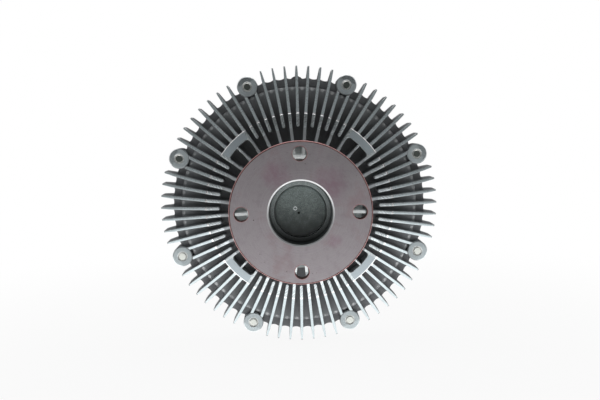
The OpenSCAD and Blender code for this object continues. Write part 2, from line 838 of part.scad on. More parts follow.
module valve_spindle() {
    seal_to = spindle_seal_from + spindle_seal_d + 2 * running_fit;
    clip_r = spindle_r - clip_bite;
    clip_to = clip_from + clip_t + 2 * running_fit;
    color(steel_bright) facing() difference() {
        turned([at(0, valve_from), at(rivet_r, valve_from), at(rivet_r, valve_to), at(collar_r, valve_to),
            at(collar_r, collar_to), at(spindle_r, collar_to), at(spindle_r, spindle_seal_from),
            at(spindle_seal_groove_r, spindle_seal_from), at(spindle_seal_groove_r, seal_to),
            at(spindle_r, seal_to), at(spindle_r, clip_from), at(clip_r, clip_from), at(clip_r, clip_to),
            at(spindle_r, clip_to), at(spindle_r, spindle_end), at(0, spindle_end)]);
        between(slot_from, spindle_end + past) square([2 * spindle_d, slot_w], center = true);
    }
}

module spindle_seal_ring() {
    depth = spindle_seal_from + spindle_seal_d / 2 + running_fit;
    color(rubber_black) facing() rotate_extrude()
        translate(at(spindle_hole_r - spindle_seal_d / 2 - running_fit, depth)) circle(spindle_seal_d / 2);
}

module spindle_clip() {
    r_in = spindle_r - clip_bite + running_fit;
    from = clip_from + running_fit;
    color(steel_dark) facing() rotate_extrude(start = clip_opening / 2, angle = 360 - clip_opening)
        polygon([at(r_in, from), at(r_in + clip_w, from), at(r_in + clip_w, from + clip_t), at(r_in, from + clip_t)]);
}

// Half a turn of the coil
module coil_arc(r, start) {
    rotate_extrude(start = start, angle = 180)
        polygon([at(r - coil_t / 2, coil_from), at(r + coil_t / 2, coil_from),
            at(r + coil_t / 2, coil_to), at(r - coil_t / 2, coil_to)]);
}

// The coil is half turns about two centres, with a tab in the spindle's slot and a tail in the bracket
module bimetal_coil() {
    color(bimetal) facing() {
        for (i = [0 : coil_turns - 1]) {
            coil_arc(coil_in_r + i * coil_pitch, 0);
            place(coil_pitch / 2) coil_arc(coil_in_r + (i + 0.5) * coil_pitch, 180);
        }
        between(coil_from, coil_to) {
            translate([-coil_tab_in, -coil_t / 2]) square([coil_tab_in + coil_in_r + coil_t / 2, coil_t]);
            translate([coil_end_r - coil_t / 2, -coil_t / 2]) square([coil_tail + coil_t / 2, coil_t]);
        }
    }
}

module coil_bracket() {
    prong_at = slot_w / 2;
    color(steel_bright) facing() difference() {
        union() {
            between(dome_front, bracket_front)
                translate([bracket_in_r, -bracket_span / 2]) square([bracket_base_w, bracket_span]);
            between(dome_front, coil_to) for (s = [0, 1]) mirror([0, s])
                translate([bracket_in_r, prong_at]) square([prong_l, prong_w]);
        }
        for (p = bracket_screw_at) translate(p) bar(bracket_screw_hole_r, dome_front - past, bracket_front + past);
    }
}

module bracket_screws() {
    color(zinc) facing() for (p = bracket_screw_at) translate(p) {
        bar(bracket_screw_r, dome_front - bracket_screw_l, bracket_front + past);
        bar(bracket_screw_head_r, bracket_front, bracket_front + bracket_screw_head_t);
    }
}

module fan_studs() {
    color(zinc) facing() around(fan_stud_count, fan_first) place(fan_pcd / 2) {
        bar(fan_root_r, fan_stud_from, fan_boss_front);
        bar(fan_stud_r, fan_boss_front - past, fan_stud_to - fan_stud_chamfer);
        taper(fan_stud_r, fan_stud_r - fan_stud_chamfer, fan_stud_to - fan_stud_chamfer, fan_stud_to);
    }
}

drive_flange();
drive_shaft();
bearing_inner_race();
bearing_outer_race();
bearing_balls();
bearing_cage();
bearing_rear_shield();
bearing_front_shield();
bearing_circlip();
rotor();
rotor_circlip();
rear_case();
front_cover();
cover_seal_ring();
cover_screws();
cover_screw_washers();
separator_plate();
separator_screws();
return_plug();
valve_plate();
valve_spindle();
spindle_seal_ring();
spindle_clip();
bimetal_coil();
coil_bracket();
bracket_screws();
fan_studs();
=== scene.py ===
"""Viscous fan clutch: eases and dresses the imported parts, models the fasteners, and sets the studio."""

import json
import logging
import math
from contextlib import contextmanager
from dataclasses import dataclass, field
from enum import Enum
from functools import partial, reduce
from typing import Iterator, Mapping, Optional, Sequence, Union

import bmesh
import bpy
from mathutils import Matrix, Vector

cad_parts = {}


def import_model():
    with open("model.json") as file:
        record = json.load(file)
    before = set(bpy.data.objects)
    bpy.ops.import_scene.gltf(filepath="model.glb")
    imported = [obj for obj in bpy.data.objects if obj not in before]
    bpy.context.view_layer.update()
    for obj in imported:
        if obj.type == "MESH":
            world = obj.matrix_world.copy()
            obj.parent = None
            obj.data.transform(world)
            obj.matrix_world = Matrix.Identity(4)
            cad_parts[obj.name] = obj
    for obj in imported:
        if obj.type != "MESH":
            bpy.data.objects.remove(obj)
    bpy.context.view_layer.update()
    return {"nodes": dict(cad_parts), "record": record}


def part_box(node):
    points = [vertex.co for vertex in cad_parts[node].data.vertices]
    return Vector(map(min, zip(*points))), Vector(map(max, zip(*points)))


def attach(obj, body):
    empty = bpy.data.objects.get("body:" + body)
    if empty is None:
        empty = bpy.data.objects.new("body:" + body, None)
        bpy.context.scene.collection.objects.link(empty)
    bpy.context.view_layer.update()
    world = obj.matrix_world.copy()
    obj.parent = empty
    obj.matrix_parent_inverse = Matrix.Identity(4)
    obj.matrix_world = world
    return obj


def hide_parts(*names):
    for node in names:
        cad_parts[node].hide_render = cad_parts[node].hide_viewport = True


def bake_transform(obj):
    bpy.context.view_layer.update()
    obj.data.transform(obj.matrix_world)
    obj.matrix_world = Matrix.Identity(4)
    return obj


Colour = tuple[float, float, float]
Point = tuple[float, float]
Socket = bpy.types.NodeSocket
Value = Union[Socket, float]
Piece = bpy.types.Object
Material = bpy.types.Material

LOG = logging.getLogger("fan_clutch")
MM = 0.001
WHITE: Colour = (1.0, 1.0, 1.0)

# Depth in millimetres where the two castings meet; their edges there stay sharp
JOINT_DEPTH = 58.0

# How near a point counts as on another, on a depth, or on the edge of a sliver
WELD = MM / 1000
ON_DEPTH = MM / 50
SLIVER = MM / 2000

# Edges sharper than this show as edges
SMOOTH_DEG = 40.0

# One turn of a thread as (depth, rise) points in pitches, and how it is wound and cut
THREAD_FORM: Sequence[Point] = ((0.0, 0.0), (0.0, 0.12), (0.6, 0.44), (0.6, 0.68), (0.0, 1.0))
THREAD_STEPS = 24
THREAD_SPARE_TURNS = 3
THREAD_WELD = MM / 200
# The lead is an odd share of the pitch, so that no corner of the thread falls on a cut
THREAD_LEAD = 1.483


class Side(Enum):
    """Which way a half of the housing faces along the axis."""

    PUMP = -1.0
    FAN = 1.0


# Bench work: one piece at a time


def take(*pieces: Piece) -> None:
    """Selects only the given pieces, with the first one active.

    Args:
        pieces: the pieces to select.
    """
    bpy.ops.object.select_all(action="DESELECT")
    for piece in pieces:
        piece.select_set(True)
    bpy.context.view_layer.objects.active = pieces[0]


@contextmanager
def editing(piece: Piece) -> Iterator[None]:
    """Holds one piece in edit mode, with all of it selected.

    Args:
        piece: the piece to edit.

    Yields:
        Nothing, while the piece is in edit mode.
    """
    take(piece)
    bpy.ops.object.mode_set(mode="EDIT")
    bpy.ops.mesh.select_all(action="SELECT")
    yield
    bpy.ops.object.mode_set(mode="OBJECT")


def finish_with(piece: Piece, kind: str, **settings: object) -> None:
    """Adds one modifier to a piece and applies it.

    Args:
        piece: the piece to change.
        kind: the modifier's type.
        settings: the modifier's values by name.
    """
    take(piece)
    modifier = piece.modifiers.new(kind.lower(), kind)
    for name, value in settings.items():
        setattr(modifier, name, value)
    bpy.ops.object.modifier_apply(modifier=modifier.name)


def combine(piece: Piece, tool: Piece, operation: str) -> None:
    """Cuts, joins or trims a piece with a tool, and removes the tool.

    Args:
        piece: the piece to change.
        tool: a closed mesh.
        operation: UNION, DIFFERENCE or INTERSECT.
    """
    finish_with(piece, "BOOLEAN", object=tool, operation=operation, solver="EXACT")
    bpy.data.objects.remove(tool)


def duplicate(source: Piece, name: str) -> Piece:
    """Copies a piece with a mesh of its own, without the source's parent and notes.

    Args:
        source: the piece to copy, which stays as it is.
        name: the copy's name.

    Returns:
        The copy.
    """
    piece = source.copy()
    piece.data = source.data.copy()
    piece.parent = None
    for key in list(piece.keys()):
        del piece[key]
    piece.name = name
    bpy.context.collection.objects.link(piece)
    return piece


def set_at(piece: Piece, places: Sequence[Matrix]) -> Piece:
    """Copies a piece to several places, and joins the copies.

    Args:
        piece: the piece on the axis, which is used up.
        places: the transform of each copy.

    Returns:
        One piece with all the copies.
    """
    name = piece.name
    copies = []
    for place in places:
        copy = duplicate(piece, name)
        copy.data.transform(place)
        copies.append(copy)
    bpy.data.objects.remove(piece)
    take(*copies)
    bpy.ops.object.join()
    copies[0].name = name
    return copies[0]


def around(radius: float, count: int, first_deg: float) -> list[Matrix]:
    """Finds places at even steps around the axis.

    Args:
        radius: the pitch circle's radius in millimetres.
        count: number of places.
        first_deg: angle of the first, from the right towards the top.

    Returns:
        The transform that brings a piece from the axis to each place.
    """
    out = Matrix.Translation((radius * MM, 0.0, 0.0))
    turns = [math.radians(first_deg + i * 360.0 / count) for i in range(count)]
    return [Matrix.Rotation(-turn, 4, "Y") @ out for turn in turns]


def round_corners(piece: Piece, width: float, limit_deg: float, sharp_depth: Optional[float]) -> None:
    """Rounds a piece's outward edges and evens its shading.

    Args:
        piece: the piece to change.
        width: width of the round in millimetres.
        limit_deg: edges sharper than this are rounded.
        sharp_depth: edges that touch this depth, in millimetres, stay sharp.
    """
    with editing(piece):
        bpy.ops.mesh.select_mode(type="EDGE")
        bpy.ops.mesh.select_all(action="DESELECT")
        bpy.ops.mesh.edges_select_sharp(sharpness=math.radians(limit_deg))
        cage = bmesh.from_edit_mesh(piece.data)
        for edge in cage.edges:
            stays = sharp_depth is not None and any(
                abs(v.co.y - sharp_depth * MM) < ON_DEPTH for v in edge.verts
            )
            if edge.select and (stays or not edge.is_convex):
                edge.select_set(False)
        bmesh.update_edit_mesh(piece.data)
        bpy.ops.mesh.bevel(
            offset=width * MM, segments=2, affect="EDGES", clamp_overlap=False, miter_outer="ARC"
        )
        bpy.ops.mesh.select_mode(type="VERT")
    smooth(piece)


def smooth(piece: Piece) -> None:
    """Clears slivers, shades a piece smooth except at its sharp edges, and weights its normals by face.

    Args:
        piece: the piece to change.
    """
    with editing(piece):
        bpy.ops.mesh.dissolve_degenerate(threshold=SLIVER)
    take(piece)
    bpy.ops.object.shade_smooth_by_angle(angle=math.radians(SMOOTH_DEG))
    finish_with(piece, "WEIGHTED_NORMAL", keep_sharp=True)


def outline(name: str, profile: Sequence[Point]) -> Piece:
    """Draws a profile as a line of edges.

    Args:
        name: the piece's name.
        profile: (radius, depth) points in millimetres.

    Returns:
        The line, in the plane of the axis and the right-hand side.
    """
    bpy.ops.object.select_all(action="DESELECT")
    bpy.ops.mesh.primitive_plane_add(size=MM)
    piece = bpy.context.active_object
    piece.name = name
    points = [Vector((r * MM, depth * MM, 0.0)) for r, depth in profile]
    with editing(piece):
        bpy.ops.mesh.merge(type="CENTER")
        bpy.ops.transform.translate(value=points[0])
        for here, there in zip(points, points[1:]):
            bpy.ops.mesh.extrude_vertices_move(TRANSFORM_OT_translate={"value": there - here})
    return piece


def turned(name: str, profile: Sequence[Point], steps: int) -> Piece:
    """Turns a profile about the clutch's axis, as on a lathe.

    Args:
        name: the piece's name.
        profile: (radius, depth) points in millimetres, along the outline.
        steps: sides of the round.

    Returns:
        The closed piece.
    """
    piece = outline(name, profile)
    with editing(piece):
        bpy.ops.mesh.spin(steps=steps, angle=math.tau, center=(0.0, 0.0, 0.0), axis=(0.0, 1.0, 0.0))
        bpy.ops.mesh.select_all(action="SELECT")
        bpy.ops.mesh.remove_doubles(threshold=WELD)
        bpy.ops.mesh.normals_make_consistent(inside=False)
    return piece


def cut_off(at: Sequence[float], beyond: Sequence[float]) -> None:
    """Cuts the piece in edit mode at a plane, and closes the cut.

    Args:
        at: a point on the plane in millimetres.
        beyond: the direction of what is cut off.
    """
    bpy.ops.mesh.select_all(action="SELECT")
    bpy.ops.mesh.bisect(
        plane_co=Vector(at) * MM, plane_no=beyond, use_fill=True, clear_outer=True, threshold=WELD
    )


def threaded(name: str, radius: float, pitch: float, start: float, end: float) -> Piece:
    """Cuts a screw thread about the clutch's axis.

    Args:
        name: the piece's name.
        radius: the thread's outside radius in millimetres.
        pitch: the rise of one turn in millimetres.
        start: depth of the near end in millimetres.
        end: depth of the far end in millimetres.

    Returns:
        The closed rod, cut square at both ends.
    """
    form = [(radius - depth * pitch, start + (rise - THREAD_LEAD) * pitch) for depth, rise in THREAD_FORM]
    piece = outline(name, form)
    finish_with(
        piece,
        "SCREW",
        axis="Y",
        screw_offset=pitch * MM,
        iterations=math.ceil((end - start) / pitch) + THREAD_SPARE_TURNS,
        steps=THREAD_STEPS,
        render_steps=THREAD_STEPS,
    )
    with editing(piece):
        bpy.ops.mesh.remove_doubles(threshold=THREAD_WELD)
        for depth, beyond in ((start, -1.0), (end, 1.0)):
            cut_off((0.0, depth, 0.0), (0.0, beyond, 0.0))
        bpy.ops.mesh.select_all(action="SELECT")
        bpy.ops.mesh.normals_make_consistent(inside=False)
    return piece


# Finishes


class Graph:
    """A tree of nodes, with a short call for each kind that the finishes and the studio use."""

    def __init__(self, tree: bpy.types.NodeTree) -> None:
        """Empties the tree and gives it its coordinates.

        Args:
            tree: the node tree of a material or a world.
        """
        self.tree = tree
        tree.nodes.clear()
        source = self.node("TexCoord", {})
        self.place = source.outputs["Object"]
        self.normal = source.outputs["Normal"]
        self.direction = source.outputs["Generated"]

    def node(self, kind: str, inputs: Mapping[Union[int, str], object], **settings: str) -> bpy.types.Node:
        """Adds one node.

        Args:
            kind: the node's type, without the prefix that all of them have.
            inputs: what each socket is linked or set to, by its number or name.
            settings: the node's own choices by name.

        Returns:
            The new node.
        """
        node = self.tree.nodes.new("ShaderNode" + kind)
        for name, choice in settings.items():
            setattr(node, name, choice)
        for key, value in inputs.items():
            self.put(node.inputs[key], value)
        return node

    def put(self, socket: Socket, value: object) -> None:
        """Links a socket to another, or sets its value.

        Args:
            socket: the input to fill.
            value: a socket, a number or a colour.
        """
        if isinstance(value, bpy.types.NodeSocket):
            self.tree.links.new(value, socket)
        elif socket.type == "RGBA":
            socket.default_value = (*value, 1.0)
        else:
            socket.default_value = value

    def maths(self, operation: str, a: Value, b: Value = 0.0) -> Socket:
        """One sum of two numbers."""
        return self.node("Math", {0: a, 1: b}, operation=operation).outputs[0]

    def times(self, *values: Value) -> Socket:
        """The product of several numbers."""
        return reduce(partial(self.maths, "MULTIPLY"), values)

    def most(self, *values: Value) -> Socket:
        """The greatest of several numbers."""
        return reduce(partial(self.maths, "MAXIMUM"), values)

    def plus(self, a: Value, b: Value) -> Socket:
        """Two numbers added up."""
        return self.maths("ADD", a, b)

    def minus(self, a: Value, b: Value) -> Socket:
        """The first number less the second."""
        return self.maths("SUBTRACT", a, b)

    def apart(self, a: Value, b: Value) -> Socket:
        """How far two numbers lie apart."""
        return self.maths("ABSOLUTE", self.minus(a, b))

    def split(self, vector: Socket) -> list[Socket]:
        """The three parts of a vector."""
        return list(self.node("SeparateXYZ", {0: vector}).outputs)

    def join(self, x: Value, y: Value, z: Value) -> Socket:
        """A vector of three parts."""
        return self.node("CombineXYZ", {0: x, 1: y, 2: z}).outputs[0]

    def length(self, vector: Socket) -> Socket:
        """A vector's length."""
        return self.node("VectorMath", {0: vector}, operation="LENGTH").outputs["Value"]

    def line(self, value: Value, *limits: float, curve: str = "LINEAR") -> Socket:
        """Runs between two values, as ramp does but straight, and level outside the limits."""
        return self.node("MapRange", dict(enumerate((value, *limits))), interpolation_type=curve).outputs[0]

    def ramp(
        self, value: Value, low: float, high: float, at_low: float = 0.0, at_high: float = 1.0
    ) -> Socket:
        """Eases a number from at_low, where value is low, to at_high, where it is high."""
        return self.line(value, low, high, at_low, at_high, curve="SMOOTHSTEP")

    def above(self, value: Value, edge: float, soft: float) -> Socket:
        """Nought up to an edge and one from just past it; edge and softness are in millimetres."""
        return self.ramp(value, edge * MM, (edge + soft) * MM)

    def within(self, value: Value, edge: float, soft: float) -> Socket:
        """One up to an edge and nought from just past it; edge and softness are in millimetres."""
        return self.ramp(value, edge * MM, (edge + soft) * MM, 1.0, 0.0)

    def noise(self, scale: float, detail: float, rough: float, at: Optional[Socket] = None) -> Socket:
        """Cloudy noise with so many grains to a metre."""
        inputs = {"Vector": at or self.place, "Scale": scale, "Detail": detail, "Roughness": rough}
        return self.node("TexNoise", inputs).outputs[0]

    def mix(self, share: Value, a: object, b: object) -> Socket:
        """Mixes two colours."""
        return self.node("Mix", {0: share, 6: a, 7: b}, data_type="RGBA").outputs[2]

    def bump(
        self, height: Socket, strength: float, distance: float, onto: Optional[Socket] = None
    ) -> Socket:
        """Gives relief from a height.

        Args:
            height: the height at each place.
            strength: share of the relief that shows.
            distance: the height's unit in millimetres.
            onto: another relief, which this one goes on top of.

        Returns:
            The bent normal.
        """
        inputs = {"Strength": strength, "Distance": distance * MM, "Height": height}
        if onto is not None:
            inputs["Normal"] = onto
        return self.node("Bump", inputs).outputs[0]

    def radius(self) -> Socket:
        """Distance from the clutch's axis."""
        return self.from_point((0.0, 0.0))

    def from_point(self, point: Point) -> Socket:
        """Distance from a line along the axis, through a point so many millimetres right and up."""
        x, _, z = self.split(self.place)
        return self.length(self.join(self.minus(x, point[0] * MM), 0.0, self.minus(z, point[1] * MM)))

    def turn(self) -> Socket:
        """Angle about the axis, from the right towards the top."""
        x, _, z = self.split(self.place)
        return self.maths("ARCTAN2", z, x)

    def lathe_lines(self, lines: float) -> Socket:
        """Fine turning lines around the axis, so many to a metre."""
        return self.noise(lines, 2.0, 0.6, self.join(self.radius(), 0.0, 0.0))

    def off_nearest(self, count: int, first_deg: float) -> Socket:
        """Angle from the nearest of several centres that stand around the axis.

        Args:
            count: number of centres.
            first_deg: angle of the first, from the right towards the top.

        Returns:
            The angle in radians.
        """
        sector = math.tau / count
        turn = self.minus(self.turn(), math.radians(first_deg))
        share = self.maths("FRACT", self.plus(self.times(turn, 1.0 / sector), 0.5 + count))
        return self.times(self.minus(share, 0.5), sector)

    def to_nearest(self, count: int, first_deg: float, pitch_r: float) -> Socket:
        """Distance from the nearest of several centres that stand around the axis.

        Args:
            count: number of centres.
            first_deg: angle of the first, from the right towards the top.
            pitch_r: their distance from the axis in millimetres.

        Returns:
            The distance in metres.
        """
        angle = self.off_nearest(count, first_deg)
        radius = self.radius()
        along = self.minus(self.times(radius, self.maths("COSINE", angle)), pitch_r * MM)
        return self.length(self.join(along, self.times(radius, self.maths("SINE", angle)), 0.0))


class Finish(Graph):
    """A material's nodes, which end in one shader."""

    def __init__(self, name: str) -> None:
        """Starts the material.

        Args:
            name: the material's name.
        """
        self.material = bpy.data.materials.new(name)
        self.material.use_nodes = True
        super().__init__(self.material.node_tree)
        self.shader = self.node("BsdfPrincipled", {})
        self.node("OutputMaterial", {"Surface": self.shader.outputs["BSDF"]})

    def ends_in(self, base: Socket, metal: Value, rough: Value, relief: Socket) -> Material:
        """Ends the material in its shader.

        Args:
            base: the colour.
            metal: the share of bare metal.
            rough: the roughness.
            relief: the bent normal.

        Returns:
            The material.
        """
        inputs = {"Base Color": base, "Metallic": metal, "Roughness": rough, "Normal": relief}
        for name, value in inputs.items():
            self.put(self.shader.inputs[name], value)
        return self.material


@dataclass(frozen=True)
class CastAlloy:
    """Die-cast aluminium: dull skin between the fins, darkened with painted shade the deeper it lies,
    crests skimmed on a lathe, and spot-faced ears. Painted highlights stand on the step, the crest edges,
    the shoulder and the ear countersinks, and the middle round the axis is painted lighter where it lies in
    shadow.

    The crest is given by the (radius, depth) points where its slope starts and ends.
    """

    name: str
    side: Side
    crest: tuple[Point, Point]
    step: float
    ear_face: float
    shoulder_depth: float
    hub_r: float
    step_w: float = 1.2
    crest_from: float = 53.0
    ear_count: int = 8
    ear_first_deg: float = 22.5
    ear_pcr: float = 87.6
    ear_r: float = 6.3
    hole_r: float = 3.0
    countersink: float = 0.32
    shoulder_r: float = 79.4
    fin_count: int = 72
    bridge_count: int = 4
    bridge_from: float = 57.1
    bridge_half_deg: float = 10.0
    bridge_rim_deg: float = 0.9
    hatch_slant: float = 0.9
    edge_soft: float = 0.15
    skin: Colour = (0.45, 0.49, 0.505)
    # Painted shade for the skin that lies deep between the fins
    skin_painted_shade: Colour = (0.235, 0.24, 0.25)
    skin_stain: Colour = (0.26, 0.262, 0.268)
    lathe: Colour = (0.6, 0.675, 0.695)
    lathe_worn: Colour = (0.45, 0.505, 0.52)
    hatched: Colour = (0.5, 0.555, 0.57)
    crest_in: Colour = (0.84, 0.9, 0.91)
    bridge_face: Colour = (0.48, 0.545, 0.58)
    ear: Colour = (0.44, 0.49, 0.505)
    # Painted light for the partly machined face round the axis, which lies in shadow behind the flange
    hub_painted_light: Colour = (0.8, 0.83, 0.83)
    # Colour of the painted highlights on the shoulder, the step, the crest edges and the countersinks
    bright: Colour = (0.88, 0.89, 0.89)

    def make(self) -> Material:
        """Makes the material.

        Returns:
            The material.
        """
        g = Finish(self.name)
        radius = g.radius()
        depth = g.split(g.place)[1]
        facing = g.times(g.split(g.normal)[1], self.side.value)
        below = self.below_crest(g, radius, depth)
        at_crest = g.times(g.within(below, 0.4, 0.4), g.above(radius, self.crest_from - 0.2, 0.2))
        skimmed = g.times(g.ramp(facing, 0.55, 0.68), at_crest)
        on_edge = g.times(g.ramp(facing, 0.2, 0.4), g.ramp(facing, 0.7, 0.88, 1.0, 0.0), at_crest)
        # Painted highlight with some wear on the rounded crest edges, in ragged patches
        edge_wear_and_highlight = g.times(on_edge, g.ramp(g.noise(350.0, 3.0, 0.6), 0.35, 0.6, 0.25, 1.0))
        to_ear = g.to_nearest(self.ear_count, self.ear_first_deg, self.ear_pcr)
        off_face = g.apart(depth, self.ear_face * MM)
        on_ear = g.times(g.within(to_ear, self.ear_r, self.edge_soft), g.within(off_face, 0.1, 0.1))
        sunk = g.times(
            g.within(to_ear, self.hole_r + self.countersink, 0.1), g.within(off_face, 0.4, 0.2)
        )
        step_out = self.crest[0][0]
        step_in = step_out - self.step_w - 0.05
        inside = g.within(radius, step_in, self.edge_soft)
        on_step = g.times(
            g.above(radius, step_in, self.edge_soft), g.within(radius, step_out, self.edge_soft)
        )
        on_bridge = g.times(inside, self.bridge(g, radius))

        grain = g.noise(1500.0, 5.0, 0.6)
        cloud = g.ramp(g.noise(55.0, 4.0, 0.6), 0.45, 0.7)
        skin = g.mix(g.times(cloud, 0.55), self.skin, self.skin_stain)
        skin = g.mix(g.ramp(grain, 0.35, 0.75, 0.0, 0.35), skin, self.skin_stain)
        # Painted shade: the skin darkens the deeper it lies below the crests, between the fins and on the
        # recessed rim
        skin = g.mix(g.above(below, 0.5, 8.0), skin, self.skin_painted_shade)
        # Painted highlights: patchy bright spots on the shoulder in each gap between fins
        skin = g.mix(self.shoulder_painted_highlights(g, depth), skin, self.bright)

        lines = g.lathe_lines(4200.0)
        worn = g.ramp(g.noise(120.0, 4.0, 0.6), 0.42, 0.72, 0.0, 0.45)
        hatched = g.mix(self.hatching(g, radius), self.crest_in, self.hatched)
        lathe = g.mix(inside, self.lathe, hatched)
        lathe = g.mix(worn, lathe, self.lathe_worn)
        lathe = g.mix(g.ramp(lines, 0.35, 0.75, 0.0, 0.28), lathe, self.lathe_worn)
        # Painted highlight on the step's machined chamfer
        lathe = g.mix(on_step, lathe, self.bright)
        lathe = g.mix(on_bridge, lathe, self.bridge_face)

        base = g.mix(skimmed, skin, lathe)
        # Painted highlight and wear on the crest edges
        base = g.mix(edge_wear_and_highlight, base, self.bright)
        base = g.mix(on_ear, base, self.ear)
        # Painted light lifting the shadow behind the flange, on a face that is partly machined
        base = g.mix(g.within(radius, self.hub_r, 1.0), base, self.hub_painted_light)
        # Painted highlight on each ear hole's bare countersink
        base = g.mix(sunk, base, self.bright)

        bare = g.most(skimmed, g.times(on_ear, 0.5), sunk, edge_wear_and_highlight)
        rough = g.minus(g.ramp(grain, 0.3, 0.7, 0.46, 0.64), g.times(bare, 0.22))
        rough = g.minus(rough, g.times(skimmed, on_step, 0.14))
        rough = g.plus(rough, g.times(on_bridge, 0.1))
        relief = g.bump(g.times(grain, g.minus(1.0, bare)), 0.35, 0.4)
        relief = g.bump(g.times(lines, skimmed), 0.12, 0.1, relief)
        return g.ends_in(base, g.ramp(bare, 0.0, 1.0, 0.3, 1.0), rough, relief)

    def shoulder_painted_highlights(self, g: Graph, depth: Socket) -> Socket:
        """Painted highlights on the round shoulder of the chamber's wall, one patch in each gap between
        fins.

        Args:
            g: the material's nodes.
            depth: place along the axis.

        Returns:
            The share of painted highlight.
        """
        to_gap = g.to_nearest(self.fin_count, 180.0 / self.fin_count, self.shoulder_r)
        off_depth = g.apart(depth, self.shoulder_depth * MM)
        patch = g.ramp(g.noise(300.0, 5.0, 0.7), 0.36, 0.64, 0.05, 0.75)
        return g.times(g.within(to_gap, 0.7, 0.9), g.within(off_depth, 1.2, 1.0), patch)

    def bridge(self, g: Graph, radius: Socket) -> Socket:
        """The face of each bridge that joins a group of fins.

        Args:
            g: the material's nodes.
            radius: distance from the axis.

        Returns:
            One on the bridges, and nought beside them.
        """
        off = g.maths("ABSOLUTE", g.off_nearest(self.bridge_count, 180.0 / self.bridge_count))
        half = math.radians(self.bridge_half_deg - self.bridge_rim_deg)
        beside = g.ramp(off, half, half + math.radians(0.3), 1.0, 0.0)
        return g.times(beside, g.above(radius, self.bridge_from + 0.2, 0.2))

    def hatching(self, g: Graph, radius: Socket) -> Socket:
        """Slanting tool marks on the inner stretch of the crests.

        Args:
            g: the material's nodes.
            radius: distance from the axis.

        Returns:
            The share of bright metal.
        """
        along = g.times(g.turn(), self.crest[0][0] * MM, self.hatch_slant)
        marks = g.noise(900.0, 1.0, 0.5, g.join(g.plus(radius, along), 0.0, 0.0))
        return g.ramp(marks, 0.42, 0.58)

    def below_crest(self, g: Graph, radius: Socket, depth: Socket) -> Socket:
        """How far a point lies below the turned crest of the fins.

        Args:
            g: the material's nodes.
            radius: distance from the axis.
            depth: place along the axis.

        Returns:
            The distance in metres.
        """
        (in_r, in_depth), (out_r, out_depth) = self.crest
        slope = g.line(radius, in_r * MM, out_r * MM, in_depth * MM, out_depth * MM)
        drop = g.ramp(radius, (in_r - self.step_w) * MM, in_r * MM, self.step * MM, 0.0)
        height = g.plus(slope, g.times(drop, self.side.value))
        return g.times(g.minus(height, depth), self.side.value)


